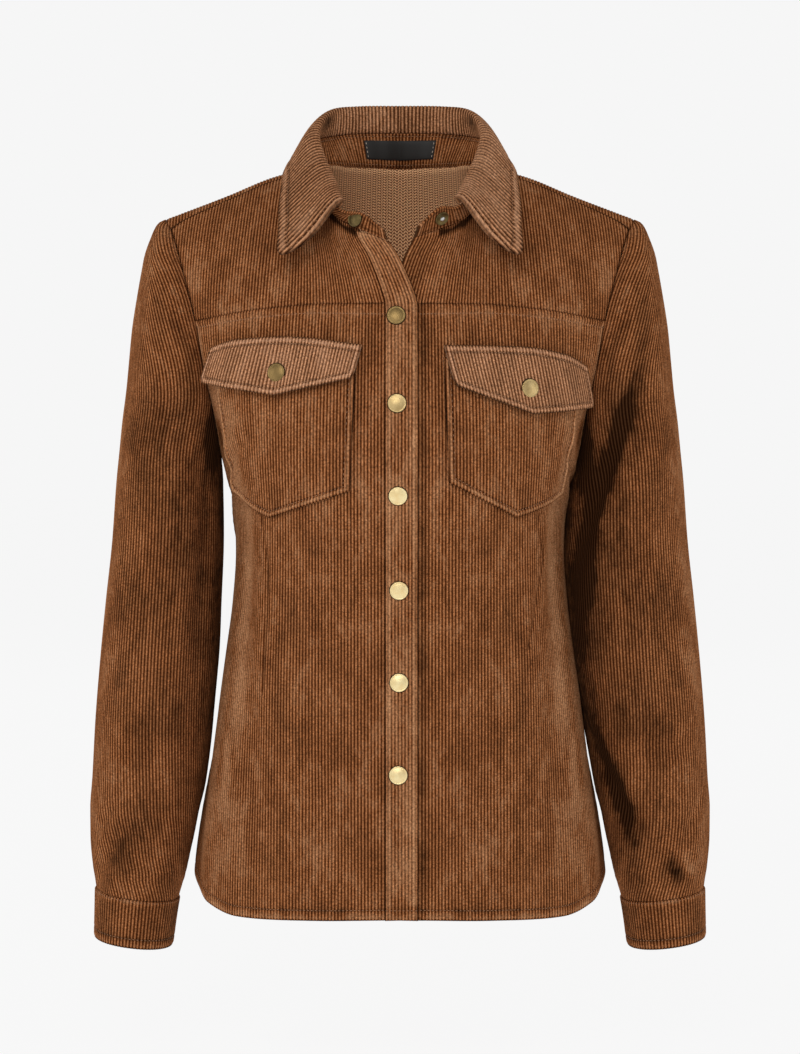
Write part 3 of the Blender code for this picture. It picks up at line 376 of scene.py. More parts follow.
def spread(start, end, step, fine=(), fine_step=0.0006):
    """Row places from start to end, a step apart, with five close rows round each fine place."""
    rows = list(np.linspace(start, end, max(2, round((end - start) / step) + 1)))
    for place in fine:
        rows = [r for r in rows if abs(r - place) > 3 * fine_step or r in (start, end)]
        rows += [place + k * fine_step for k in (-2, -1, 0, 1, 2)]
    return np.array(sorted(r for r in set(rows) if start <= r <= end))


# %% [markdown]
# ## Edges and rows of stitching
#
# A sewn edge turns in, so its last millimetre rolls away. A row of stitching pulls the cloth down into
# a fine valley, with small puckers beside it. Both depend only on the distance to a line in the flat
# cloth, so one helper measures that distance and the lift follows from it.

# %% Distance to lines in the flat cloth
EDGE_DROP, EDGE_REACH = 0.00075, 0.0013
VALLEY, VALLEY_REACH = 0.00055, 0.00085
PUCKER, PUCKER_REACH, PUCKER_LENGTH = 0.00016, 0.004, 0.0085
PUCKER_DRIFT, DRIFT_LENGTH = 1.7, 0.023  # so that the puckers aren't all the same length


def distance_to(lines, across, up):
    """Shortest distance from each flat point to a set of lines, and how far along that line it is."""
    near = np.full(across.shape, 1.0)
    along = np.zeros(across.shape)
    for points in lines:
        points = np.asarray(points, float)
        run = 0.0
        for (x0, y0), (x1, y1) in zip(points, points[1:]):
            dx, dy = x1 - x0, y1 - y0
            length = math.hypot(dx, dy) or 1e-9
            t = np.clip(((across - x0) * dx + (up - y0) * dy) / length**2, 0, 1)
            away = np.hypot(across - x0 - t * dx, up - y0 - t * dy)
            along = np.where(away < near, run + t * length, along)
            near = np.minimum(near, away)
            run += length
    return near, along


def sewn_lift(across, up, edges=(), stitches=()):
    """How far sewing moves the face of the cloth: rolled edges, stitched valleys and puckers."""
    away, along = distance_to(edges, across, up)
    lift = -EDGE_DROP * bell(away, EDGE_REACH)
    if stitches:
        away, along = distance_to(stitches, across, up)
        lift = lift - VALLEY * bell(away, VALLEY_REACH)
        wave = np.sin(along / PUCKER_LENGTH * 2 * math.pi + PUCKER_DRIFT * np.sin(along / DRIFT_LENGTH))
        lift = lift + PUCKER * wave * bell(away, PUCKER_REACH)
    return lift


# %% How the pile lies beside the sewing, with painted shade and highlight
# Each line that marks the pile and the painted shading has its lie and its reach: above 0 is lighter, below 0
# is dark.
SEAM_CRUSH_AND_SHADE, STITCH_CRUSH_AND_SHADE = (-1.1, 0.0010), (-0.8, 0.0010)  # darker in a seam and along a row of stitches: crushed pile, and painted shade in the hollow
BORDER_HIGHLIGHT_AT, BORDER_RUB_AND_HIGHLIGHT = 0.0028, (0.55, 0.0017)  # lighter on the rolled border inside an edge: rubbed pile, and a painted highlight on the raised border


def marked(away, mark):
    """What one line does to the pile and to the painted shading at this distance from it."""
    lie, reach = mark
    return lie * bell(away, reach)


def pile_and_shade_at(places, across, up, edges=(), stitches=()):
    """The lie of the pile with painted shade and highlight: above 0 lighter (brushed pile, painted
    highlight), below 0 darker (crushed pile, painted shade).
    """
    lies = folds_at(places, across, up) if places else np.zeros(np.shape(across))
    away, _ = distance_to(edges, across, up)
    lies = lies + marked(away, SEAM_CRUSH_AND_SHADE)
    if stitches:
        lies = lies + marked(away - BORDER_HIGHLIGHT_AT, BORDER_RUB_AND_HIGHLIGHT)
        away, _ = distance_to(stitches, across, up)
        lies = lies + marked(away, STITCH_CRUSH_AND_SHADE)
    return lies


# %% [markdown]
# ## One maker for every cloth piece
#
# Each piece is a grid extruded once, so it has a face, a back and closed edges. The flat cloth is kept
# as its UV map, in metres, and the back has its own material, because the reverse of corduroy is a flat
# twill. The size of its cut, which it prints, is measured in the flat.

# %% A cloth piece from its flat grid
STITCHES = []  # (piece, its place function, mirrored, its rows of stitches), sewn on at the end
MERGE = 2e-6  # points closer than this are one, such as where columns stop at the same seam
LEAST_AREA = 0.31  # of its flat box, the least area that a cut piece prints


def mesh_from(bm, name):
    """The mesh of a finished bmesh."""
    mesh = bpy.data.meshes.new(name)
    bm.to_mesh(mesh)
    bm.free()
    return mesh


def put(name, data):
    """An object in the scene, from its mesh, light or camera."""
    made = bpy.data.objects.new(name, data)
    bpy.context.scene.collection.objects.link(made)
    return made


def flat_area(across, up):
    """Area of a grid of flat points."""
    dx1, dy1 = across[1:, 1:] - across[:-1, :-1], up[1:, 1:] - up[:-1, :-1]
    dx2, dy2 = across[1:, :-1] - across[:-1, 1:], up[1:, :-1] - up[:-1, 1:]
    return float(np.abs(dx1 * dy2 - dx2 * dy1).sum() / 2)


def cloth(
    name, across, up, place, lift, wall, finishes, mirrored=False, pile_and_shading=None, wales=None,
    sewn=(), sewn_out=0.0,
):
    """A piece from flat grids across and up. place(across, up, lift) gives its points in metres.

    pile_and_shading is, on the grid, the lie of the pile together with painted shade and highlight, and
    wales(across) is where a spread rib is in the cloth.
    sewn is its rows of stitches, which lie this far out of its form.
    """
    rows, columns = across.shape
    bm = bmesh.new()
    bmesh.ops.create_grid(bm, x_segments=columns - 1, y_segments=rows - 1, size=0.5)
    face_count = len(bm.faces)
    grown = bmesh.ops.extrude_face_region(bm, geom=bm.faces[:], use_keep_orig=True)
    for vert in (g for g in grown["geom"] if isinstance(g, bmesh.types.BMVert)):
        vert.co.z = -1
    co = np.array([vert.co for vert in bm.verts])
    column = ((co[:, 0] + 0.5) * (columns - 1)).round().astype(int)
    row = ((co[:, 1] + 0.5) * (rows - 1)).round().astype(int)
    behind = co[:, 2] < -0.5
    a, u = across[row, column], up[row, column]
    placed = place(a, u, np.where(behind, -wall, lift[row, column]))
    if mirrored:
        placed = placed * [-1, 1, 1]
    flat = bm.verts.layers.float_vector.new("flat")
    # one number a point: the lie of the pile together with painted shade and highlight, which the material
    # reads
    brushed = bm.verts.layers.float.new("pile_and_shading")
    pile = 0 * a if pile_and_shading is None else pile_and_shading[row, column]
    turns = a if wales is None else wales(a)
    for vert, point, x, y, lies in zip(bm.verts, placed.tolist(), turns.tolist(), u.tolist(), pile.tolist()):
        vert.co = point
        vert[flat] = (x, y, 0)
        vert[brushed] = lies
    for face in bm.faces:
        face.smooth = True
        face.material_index = int(all(behind[v.index] for v in face.verts))
    bmesh.ops.remove_doubles(bm, verts=bm.verts, dist=MERGE)
    bmesh.ops.dissolve_degenerate(bm, edges=bm.edges, dist=MERGE)
    bmesh.ops.recalc_face_normals(bm, faces=bm.faces)
    if bm.calc_volume(signed=True) < 0:
        bmesh.ops.reverse_faces(bm, faces=bm.faces)
    mesh = mesh_from(bm, name)
    corner = np.zeros(len(mesh.loops), dtype=np.int32)
    mesh.loops.foreach_get("vertex_index", corner)
    spots = np.zeros(len(mesh.vertices) * 3, dtype=np.float32)
    mesh.attributes["flat"].data.foreach_get("vector", spots)
    uv = mesh.uv_layers.new(name="cloth")
    uv.data.foreach_set("uv", spots.reshape(-1, 3)[corner, :2].ravel())
    mesh.attributes.remove(mesh.attributes["flat"])
    for finish in finishes:
        mesh.materials.append(finish)
    made = put(f"{name}_cloth", mesh)
    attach(made, "root")
    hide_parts(name)
    area = flat_area(across, up)
    size = [float(across.max() - across.min()), float(up.max() - up.min())]
    area = min(max(area, LEAST_AREA * size[0] * size[1]), size[0] * size[1])
    if sewn:
        STITCHES.append((name, lambda a, u, out: place(a, u, out + sewn_out), mirrored, sewn))
    print(f"{name}: {face_count} cells a side, cut {size[0]:.3f} x {size[1]:.3f} m, {area:.4f} square metres")


# %% [markdown]
# ## The corduroy finish
#
# Corduroy is dark in the grooves and light on the crests, with light and dark patches where the pile
# lies one way or the other, and with a fine broken grain from the weave. A number kept on the mesh
# darkens and lightens it further, and that number holds painted shade and highlight as well as the
# pile's lie. The effect is one node group with its own colours in each material. It reads the flat
# cloth's UV, so its ribs agree with the mesh.

# %% Helpers for node trees
def feed(tree, socket, value):
    """A link or a constant into a socket."""
    if isinstance(value, bpy.types.NodeSocket):
        tree.links.new(value, socket)
    else:
        socket.default_value = value


def node(tree, kind, at, **values):
    """A node at a place in the tree, with its inputs or settings given by name."""
    made = tree.nodes.new(kind)
    made.location = at
    for key, value in values.items():
        if key in made.inputs:
            feed(tree, made.inputs[key], value)
        else:
            setattr(made, key, value)
    return made


def maths(tree, operation, at, *operands, clamp=False):
    """A Math node fed by sockets or numbers."""
    made = node(tree, "ShaderNodeMath", at, operation=operation, use_clamp=clamp)
    for socket, operand in zip(made.inputs, operands):
        feed(tree, socket, operand)
    return made.outputs[0]


def blend(tree, at, share, low, high, mode="MIX"):
    """A colour Mix node, from low to high."""
    made = node(tree, "ShaderNodeMix", at, data_type="RGBA", blend_type=mode)
    for number, operand in ((0, share), (6, low), (7, high)):
        feed(tree, made.inputs[number], (*operand, 1) if isinstance(operand, tuple) else operand)
    return made.outputs[2]


def noise(tree, at, vector, scale, detail=2.0, roughness=0.55):
    """A Noise node, about 0.5 on average."""
    values = {"Vector": vector, "Scale": scale, "Detail": detail, "Roughness": roughness}
    return node(tree, "ShaderNodeTexNoise", at, **values).outputs["Fac"]


def grain(tree, at, vector, scale, detail=2.0, roughness=0.55):
    """Noise on the flat cloth. scale is how fine it is across the wales and along them."""
    stretched = node(tree, "ShaderNodeMapping", (at[0] - 200, at[1]), Vector=vector, Scale=(*scale, 1))
    return noise(tree, at, stretched.outputs["Vector"], 1.0, detail, roughness)


def settle(tree, shader, **values):
    """Links or constants into a shader's sockets, with _ for the spaces of their names."""
    for key, value in values.items():
        feed(tree, shader.inputs[key.replace("_", " ")], value)


def bump(tree, height, strength, distance):
    """The normal of a face with fine relief."""
    values = {"Strength": strength, "Distance": distance, "Height": height}
    return node(tree, "ShaderNodeBump", (-300, -200), **values).outputs["Normal"]


def material(name):
    """A new material, with its tree and its Principled shader."""
    made = bpy.data.materials.new(name)
    made.use_nodes = True
    return made, made.node_tree, made.node_tree.nodes["Principled BSDF"]


def group(name, inputs, outputs):
    """A shader node group with named sockets."""
    tree = bpy.data.node_groups.new(name, "ShaderNodeTree")
    for label, kind in inputs:
        tree.interface.new_socket(label, in_out="INPUT", socket_type=kind)
    for label, kind in outputs:
        tree.interface.new_socket(label, in_out="OUTPUT", socket_type=kind)
    return tree, node(tree, "NodeGroupInput", (-1400, 0)), node(tree, "NodeGroupOutput", (900, 0))


# %% The corduroy group: colour and height from the flat cloth
def corduroy_group():
    tree, given, result = group(
        "corduroy ribs",
        [("Cloth", "NodeSocketVector"), ("Nap", "NodeSocketFloat"), ("Groove", "NodeSocketColor"),
         ("Crest", "NodeSocketColor"), ("Worn", "NodeSocketColor"), ("Patches", "NodeSocketFloat")],
        [("Color", "NodeSocketColor"), ("Roughness", "NodeSocketFloat"), ("Height", "NodeSocketFloat")],
    )
    cloth_at = given.outputs["Cloth"]
    split = node(tree, "ShaderNodeSeparateXYZ", (-1200, 300), Vector=cloth_at)
    # ribs: 0 in the groove, 1 on the crest, with a slightly wandering width
    wander = grain(tree, (-1200, -500), cloth_at, (60, 20))
    wales = maths(tree, "DIVIDE", (-1000, 300), split.outputs["X"], WALE)
    part = maths(tree, "SUBTRACT", (-840, 300), wales, maths(tree, "ROUND", (-840, 420), wales))
    off = maths(tree, "MULTIPLY", (-680, 300), maths(tree, "ABSOLUTE", (-680, 420), part), 2.0)
    softer = maths(tree, "MULTIPLY_ADD", (-520, 420), wander, 0.7, 0.38)
    groove = maths(tree, "POWER", (-520, 300), off, softer)
    crest = maths(tree, "SUBTRACT", (-360, 300), 1.0, groove, clamp=True)
    # grain: short flecks across each rib, from the floats of the weave
    fleck = grain(tree, (-1000, -100), cloth_at, (520, 640), 3.0, 0.7)
    fuzz = grain(tree, (-1000, -300), cloth_at, (1700, 1200), 2.0, 0.6)
    # patches: where the pile has been brushed one way or the other
    brushed = grain(tree, (-1000, -700), cloth_at, (46, 21), 4.0, 0.6)
    small = grain(tree, (-1000, -900), cloth_at, (210, 100), 3.0, 0.6)
    patch = maths(tree, "MULTIPLY_ADD", (-700, -700), brushed, 3.0, -1.50)
    spots = maths(tree, "MULTIPLY_ADD", (-700, -860), small, 2.2, -1.10)
    patch = maths(tree, "ADD", (-620, -760), patch, spots)
    patch = maths(tree, "MULTIPLY", (-540, -700), patch, given.outputs["Patches"])
    # lies: the random pile patches plus the mesh's number, which carries painted shade and highlight
    lies = maths(tree, "ADD", (-380, -700), patch, given.outputs["Nap"])
    # colour: groove to crest, paler at the worn tip, and paler still where a pile patch is brushed up and
    # where the mesh carries a painted highlight
    ribbed = blend(tree, (-160, 200), crest, given.outputs["Groove"], given.outputs["Crest"])
    tip = maths(tree, "MULTIPLY", (-160, 40), maths(tree, "POWER", (-300, 40), crest, 4.0), 0.65)
    ribbed = blend(tree, (-60, 200), tip, ribbed, given.outputs["Worn"])
    lit = maths(tree, "MULTIPLY_ADD", (-380, -600), crest, 0.45, 0.45)
    worn_and_lit = maths(tree, "MULTIPLY", (-220, -600), lies, lit, clamp=True)
    coloured = blend(tree, (40, 200), worn_and_lit, ribbed, given.outputs["Worn"])
    # and darker where the pile is pushed down and where the mesh carries painted shade
    down = maths(tree, "MINIMUM", (-300, -860), lies, 0.0)
    shade = maths(tree, "MULTIPLY_ADD", (-220, -800), down, 0.75, 1.0)
    shade = maths(tree, "MAXIMUM", (-100, -800), shade, 0.04)
    light = maths(tree, "MULTIPLY_ADD", (-100, -100), fleck, 3.3, -0.66)
    hair = maths(tree, "MULTIPLY_ADD", (-100, -250), fuzz, 1.0, 0.5)
    light = maths(tree, "MULTIPLY", (40, -100), light, hair)
    light = maths(tree, "MULTIPLY", (120, -200), light, shade)
    tone = node(tree, "ShaderNodeCombineColor", (200, -100), Red=light, Green=light, Blue=light)
    grained = blend(tree, (360, 200), 0.9, coloured, tone.outputs[0], "MULTIPLY")
    rough = maths(tree, "MULTIPLY_ADD", (360, 0), crest, -0.12, 0.98)
    fine = maths(tree, "MULTIPLY", (200, -400), fuzz, 0.3)
    height = maths(tree, "MULTIPLY_ADD", (360, -300), fleck, 0.7, fine)
    settle(tree, result, Color=grained, Roughness=rough, Height=height)
    return tree


CORDUROY_RIBS = corduroy_group()


# %% The corduroy materials
def cloth_material(name):
    """A material that reads the flat cloth, in metres."""
    made, tree, shader = material(name)
    at = node(tree, "ShaderNodeUVMap", (-900, 0), uv_map="cloth")
    return made, tree, shader, at.outputs["UV"]


def corduroy(name, groove, crest, worn_and_lit, patches):
    made, tree, shader, at = cloth_material(name)
    # the number on the mesh: the pile's lie with painted shade and highlight
    pile = node(tree, "ShaderNodeAttribute", (-900, -250), attribute_name="pile_and_shading")
    ribs = node(
        tree, "ShaderNodeGroup", (-600, 0), node_tree=CORDUROY_RIBS, Cloth=at, Nap=pile.outputs["Fac"],
        Groove=(*groove, 1), Crest=(*crest, 1), Worn=(*worn_and_lit, 1), Patches=patches,
    )
    settle(tree, shader, Base_Color=ribs.outputs["Color"], Roughness=ribs.outputs["Roughness"])
    settle(tree, shader, Normal=bump(tree, ribs.outputs["Height"], 0.55, 0.0004), Specular_IOR_Level=0.02)
    settle(tree, shader, Sheen_Weight=0.03, Sheen_Roughness=0.4, Sheen_Tint=(0.95, 0.66, 0.42, 1))
    return made


# worn_and_lit is the colour of worn crest tips and of the painted highlights on the mesh
BROWN = corduroy(
    "corduroy_brown", groove=(0.033, 0.0050, 0.0007), crest=(0.44, 0.153, 0.048), worn_and_lit=(0.51, 0.260, 0.128),
    patches=0.66,
)
BRUSHED = corduroy(
    "corduroy_brushed", groove=(0.080, 0.0205, 0.0055), crest=(0.62, 0.292, 0.138), worn_and_lit=(0.66, 0.37, 0.225),
    patches=0.42,
)
COLLAR_FACE = corduroy(
    "corduroy_collar", groove=(0.034, 0.0068, 0.0012), crest=(0.55, 0.240, 0.105), worn_and_lit=(0.60, 0.325, 0.185),
    patches=0.55,
)

# %% The reverse: a flat broken twill
TWILL_ACROSS, TWILL_ALONG = 0.0026, 0.0024  # of one repeat of the reverse


def reverse_finish(name, dark, light):
    made, tree, shader, at = cloth_material(name)
    split = node(tree, "ShaderNodeSeparateXYZ", (-1600, 0), Vector=at)
    column = maths(tree, "DIVIDE", (-1450, 150), split.outputs["X"], TWILL_ACROSS)
    part = maths(tree, "FRACT", (-1300, 150), column)
    bend = maths(tree, "PINGPONG", (-1150, 150), column, 1.0)
    row = maths(tree, "DIVIDE", (-1450, -100), split.outputs["Y"], TWILL_ALONG)
    slope = maths(tree, "FRACT", (-1000, 0), maths(tree, "ADD", (-1150, 0), row, bend))
    ridge = maths(tree, "PINGPONG", (-850, 0), maths(tree, "MULTIPLY", (-850, 100), slope, 2.0), 1.0)
    edge = maths(tree, "PINGPONG", (-850, 250), maths(tree, "MULTIPLY", (-1000, 250), part, 2.0), 1.0)
    side = maths(tree, "MULTIPLY", (-700, 250), edge, 0.35)
    knit = maths(tree, "MULTIPLY_ADD", (-700, 100), ridge, 0.75, side)
    soft = grain(tree, (-850, -300), at, (300, 300), 3.0)
    raised = maths(tree, "MULTIPLY_ADD", (-550, 50), knit, 2.2, -0.93)
    share = maths(tree, "MULTIPLY_ADD", (-550, -100), soft, 0.5, raised, clamp=True)
    colour = blend(tree, (-350, 100), share, dark, light)
    normal = bump(tree, knit, 0.6, 0.0005)
    settle(tree, shader, Base_Color=colour, Normal=normal, Roughness=0.95, Specular_IOR_Level=0.1)
    return made


REVERSE = reverse_finish("corduroy_reverse", (0.15, 0.042, 0.015), (1.0, 0.59, 0.31))

# %% [markdown]
# ## Where the pile lies, and where shade and light are painted
#
# The small patches of the pile are noise in the material. The large ones belong to a place, so each is
# a soft spot in a table, and their sum is kept on the mesh as one number that the material reads. On the
# body they are partly pile patches and partly painted: shadow under the flaps and in the gap beside the
# sleeves, and sheen along the sides. On the sleeves they are painted shade on the inner side, in the
# armpit and in the folds, with painted highlight on the outer line.

# %% Large light and dark places of the pile, and painted shade, shadow and sheen
# pile patches, with painted shadow under the flaps and in the gap beside the sleeve, and painted sheen along
# the body's side
BODY_PILE_AND_PAINTED_SHADING = table(
    FOLDS,
    (0.150, -0.090, 0.70, 0.014, 0.110, 0.03),
    (0.176, -0.070, 0.50, 0.010, 0.090, 0.03),
    (0.163, -0.140, -0.50, 0.006, 0.050, 0.06),
    (0.186, -0.230, 0.60, 0.022, 0.090, -0.02),
    (0.166, -0.235, -0.55, 0.005, 0.032, -0.08),
    (0.148, -0.250, -0.40, 0.006, 0.030, 0.10),
    (0.165, -0.010, 0.35, 0.018, 0.060, -0.10),
    (0.060, -0.120, -0.18, 0.040, 0.060, 0.00),
    (0.120, -0.200, -0.15, 0.030, 0.070, 0.10),
    (0.105, 0.075, -0.25, 0.070, 0.016, 0.00),
    (0.150, 0.220, -0.12, 0.050, 0.040, 0.00),
    (0.169, 0.050, 0.80, 0.010, 0.020, 0.00),
    (0.158, -0.272, 0.60, 0.014, 0.035, 0.00),
    (0.152, -0.190, 0.45, 0.018, 0.050, 0.00),
    (0.180, 0.022, -1.30, 0.005, 0.012, 0.00),
)
# painted shade on the sleeve's inner side, in the armpit and in the folds, and painted highlight on its outer
# line
SLEEVE_PAINTED_SHADING = {
    "right": table(
        FOLDS,
        (0.030, -0.250, 0.30, 0.026, 0.220, 0.00),
        (0.158, -0.330, -1.00, 0.042, 0.230, 0.00),
        (0.070, -0.330, -0.38, 0.060, 0.240, 0.00),
        (0.066, -0.230, -0.25, 0.020, 0.070, -0.30),
        (0.132, -0.220, -1.80, 0.012, 0.026, 0.00),
        (0.055, -0.565, -0.70, 0.013, 0.036, 0.70),
        (0.030, -0.500, 0.25, 0.016, 0.040, 0.30),
        (-0.110, -0.350, -0.25, 0.050, 0.250, 0.00),
    ),
    "left": table(
        FOLDS,
        (0.030, -0.330, 0.45, 0.024, 0.180, 0.00),
        (0.158, -0.350, -1.10, 0.040, 0.230, 0.00),
        (0.080, -0.360, -0.45, 0.055, 0.240, 0.00),
        (0.103, -0.238, -1.80, 0.008, 0.078, -0.46),
        (0.131, -0.325, -1.50, 0.009, 0.060, -0.16),
        (0.131, -0.240, -1.80, 0.010, 0.030, 0.00),
        (0.112, -0.515, -1.80, 0.010, 0.042, 0.42),
        (0.054, -0.583, -1.10, 0.009, 0.014, 0.60),
        (0.047, -0.576, 0.90, 0.006, 0.012, 0.60),
        (-0.110, -0.350, -0.25, 0.050, 0.250, 0.00),
    ),
}

# %% [markdown]
# ## Outlines in the flat cloth
#
# The same few tables give the hem, the yoke seam and the neck, so neighbouring pieces share one line
# and stay a hair apart, as sewn pieces do.

# %% Hem, yoke seam, neck and shoulder
HEM = table(
    "across height",
    (0.000, -0.6085),
    (0.080, -0.6110),
    (0.140, -0.6129),
    (0.177, -0.6068),
    (0.200, -0.5988),
    (0.2375, -0.5908),
)
WIDEST = 0.2372  # across, just past the side seam at the hem
YOKE_SEAM = table(
    "across height",
    (0.000, -0.1150),
    (0.070, -0.1160),
    (0.125, -0.1210),
    (0.180, -0.1300),
)
NECK_FRONT = {
    "right": table(
        "across height",
        (-0.0145, -0.0650),
        (0.0080, -0.0570),
        (0.0280, -0.0500),
        (0.0460, -0.0410),
        (0.0620, -0.0280),
        (0.0750, -0.0140),
    ),
    "left": table(
        "across height",
        (-0.0145, -0.0650),
        (0.0080, -0.0570),
        (0.0280, -0.0525),
        (0.0460, -0.0465),
        (0.0620, -0.0345),
        (0.0750, -0.0140),
    ),
}
NECK_BACK = [(0.000, -0.0050), (0.033, -0.0040), (0.058, -0.0035)]
NECK_POINT_HEIGHT = -0.0045
PLACKET = 0.027
OVERLAP_EDGE = -0.0145  # across, of the front edge of the wearer's right, which lies on top
UNDER_EDGE = -0.0085  # across, of the front edge of the wearer's left
FRONT_EDGE = {"right": OVERLAP_EDGE, "left": UNDER_EDGE}


def hem_up(across):
    """The up of the hem."""
    return smooth(np.abs(across), HEM["across"], HEM["height"]) - CHEST


def yoke_up(across):
    """The up of the yoke seam, found on the form."""
    across = np.abs(across)
    return FRONT.find_up(across, smooth(across, YOKE_SEAM["across"], YOKE_SEAM["height"]))


def shoulder_up(across, forward):
    """The up, on the front form, of a line this far in front of the shoulder ridge."""
    return FRONT.find_up(across, -forward, axis=1)


def on_front(pairs):
    """Flat points on the front, from pairs of across and height."""
    return [(a, float(FRONT.find_up(a, z))) for a, z in pairs]


def neck_front(side):
    """The neck seam of one front as rows of across and up."""
    line = NECK_FRONT[side]
    return np.array(on_front(zip(line["across"], line["height"]))).T


def neck_point_across():
    """Across of the neck point, on the shoulder ridge."""
    ridge = FRONT.points[-1]
    column = int(np.argmax(ridge[:, 0] > NECK_POINT))
    return column / (COLUMNS - 1) * FURTHEST


NECK_ACROSS = neck_point_across()
TIP_ACROSS = float(FRONT.armhole_at(OVER))
YOKE_ARM_ACROSS = 0.1835  # where the yoke seam meets the armhole
YOKE_ARM_UP = float(yoke_up(YOKE_ARM_ACROSS))


def limit_at(form, up):
    """How far across a body panel reaches at this up: to the side seam, or to the armhole above it."""
    side, arm = form.side_at(up), form.armhole_at(up)
    reach = np.where(up < UNDERARM, side, arm)
    return np.where(up > OVER, form.armhole_at(OVER), reach) - HALF_SEAM


def trimmed(form, across, up_of):
    """Flat grids whose rows stop at the side seam or armhole."""
    up = up_of(across)
    for _ in range(4):
        limit = limit_at(form, up)
        kept = np.clip(across, -limit, limit)
        up = up_of(kept)
    return np.clip(kept, -limit_at(form, up), limit_at(form, up)), up


# %% [markdown]
# ## The two fronts
#
# A front is laid out as rows from the hem to the yoke seam, and they bend with both. Where a row
# reaches the side seam or the armhole, its points stop there, so wales run out at the seam as they do
# in cut cloth.

# %% Rows of a front panel
HEM_STITCH, YOKE_STITCH, YOKE_STITCH_TOP = 0.0085, 0.0062, 0.0010
HEM_BEND = (0.004, 0.085)  # over this much above the hem, the rows stop following it
FOLD_ROW = 0.0012  # from a folded or sewn edge, where the rows lie close
ARM_CORNER = UNDERARM - 0.0015
CORNER_ROWS = np.linspace(ARM_CORNER, ARM_CORNER + 0.024, 13)  # close together under the arm
TUCK = 0.0035  # how far a front panel reaches under or over its placket
YOKE_END = 0.19  # across, past the armhole along the yoke seam
YOKE_SPOTS = np.linspace(0, 0.2, 60)
YOKE_UPS = yoke_up(YOKE_SPOTS)
YOKE_BAND = 0.0009  # how far the seam allowance lifts the band between the yoke seam and its stitches
DART = {
    "right": table("across height", (0.1235, -0.285), (0.1145, -0.327), (0.1165, -0.431)),
    "left": table("across height", (0.1195, -0.285), (0.1310, -0.321), (0.1070, -0.395)),
}
DART_DEPTH, DART_REACH = 0.0009, 0.0014
# How the pile lies, with painted shade and highlight: less crushed and shaded along the yoke seam,
# rubbed lighter along the yoke's stitches with a painted highlight on the raised band, dark along the
# dart with painted shade in its dent, and a painted shadow beside the placket of the wearer's left,
# which the other front covers.
YOKE_SEAM_CRUSH_AND_SHADE, YOKE_BAND_RUB_AND_HIGHLIGHT = (-0.5, 0.0009), (0.3, 0.0016)
DART_SEAM_AND_SHADE, COVERED_PAINTED_SHADOW = (-0.7, 0.0012), (-0.55, 0.0035)


def yoke_seam(across):
    """The up of the yoke seam, quickly."""
    return np.interp(across, YOKE_SPOTS, YOKE_UPS)


def front_rows():
    low, high = float(hem_up(0.0)), float(yoke_up(0.0))
    fine = [low + HEM_STITCH, high - YOKE_STITCH, low + FOLD_ROW, high - FOLD_ROW]
    rows = spread(low, high, 0.0072, fine)
    kept = [r for r in rows if not CORNER_ROWS[0] < r < CORNER_ROWS[-1]]
    return np.array(sorted(kept + list(CORNER_ROWS)))


def front_up(rows, across):
    """up for each row and each across, between the hem and the yoke seam."""
    low, high = rows[0], rows[-1]
    at_hem = hem_up(across) - low
    at_yoke = yoke_seam(np.abs(across)) - high
    from_hem = 1 - ramp(rows, low + HEM_BEND[0], low + HEM_BEND[1])
    from_yoke = ramp(rows, UNDERARM + 0.03, high - 0.012)
    return rows[:, None] + at_hem * from_hem[:, None] + (at_yoke - HALF_SEAM) * from_yoke[:, None]


def front_cloth(side, mirrored):
    inner = FRONT_EDGE[side] + PLACKET - TUCK
    columns = wale_columns(inner, WIDEST)
    rows = front_rows()
    grid = grid_of(rows, columns)
    across, up = trimmed(FRONT, grid, lambda a: front_up(rows, a))
    spots = np.linspace(inner, WIDEST, 50)
    hem_line = list(zip(spots, hem_up(spots)))
    spots = spots[spots < YOKE_END]
    yoke_line = list(zip(spots, yoke_seam(spots) - HALF_SEAM))
    hem_stitch = [(a, u + HEM_STITCH) for a, u in hem_line]
    yoke_stitch = [(a, u - YOKE_STITCH) for a, u in yoke_line]
    yoke_edge = [(a, u - YOKE_STITCH_TOP) for a, u in yoke_line]
    ups = np.linspace(rows[0] + 0.02, UNDERARM, 60)
    side_line = list(zip(limit_at(FRONT, ups), ups))
    ups = np.linspace(UNDERARM, YOKE_ARM_UP, 30)
    arm_line = list(zip(limit_at(FRONT, ups + 1e-6), ups))
    front_line = [(inner, rows[0]), (inner, rows[-1])]
    from_yoke, _ = distance_to([yoke_line], across, up)
    from_dart, _ = distance_to([on_front(zip(DART[side]["across"], DART[side]["height"]))], across, up)
    edges = [hem_line, yoke_line, side_line, arm_line, front_line]
    lift = RIB_HEIGHT * rib(across) + sewn_lift(across, up, edges, [hem_stitch, yoke_stitch])
    lift = lift + YOKE_BAND * (1 - ramp(from_yoke, YOKE_STITCH - 0.002, YOKE_STITCH + 0.0005))
    lift = lift - DART_DEPTH * bell(from_dart, DART_REACH)
    pile_and_shading = pile_and_shade_at(BODY_PILE_AND_PAINTED_SHADING, across, up, [hem_line, arm_line, side_line], [hem_stitch])
    pile_and_shading = pile_and_shading + marked(from_yoke, YOKE_SEAM_CRUSH_AND_SHADE) + marked(from_yoke - YOKE_STITCH, YOKE_BAND_RUB_AND_HIGHLIGHT)
    pile_and_shading = pile_and_shading + marked(from_dart, DART_SEAM_AND_SHADE)
    if side == "left":
        # painted shadow of the front that lies over this one
        pile_and_shading = pile_and_shading + marked(across - inner - TUCK, COVERED_PAINTED_SHADOW)
    cloth(
        f"front_{side}", across, up, front_place(side), lift, CLOTH, [BROWN, REVERSE], mirrored, pile_and_shading,
        sewn=[hem_stitch, yoke_stitch, yoke_edge],
    )


for side, mirrored in SIDES:
    front_cloth(side, mirrored)

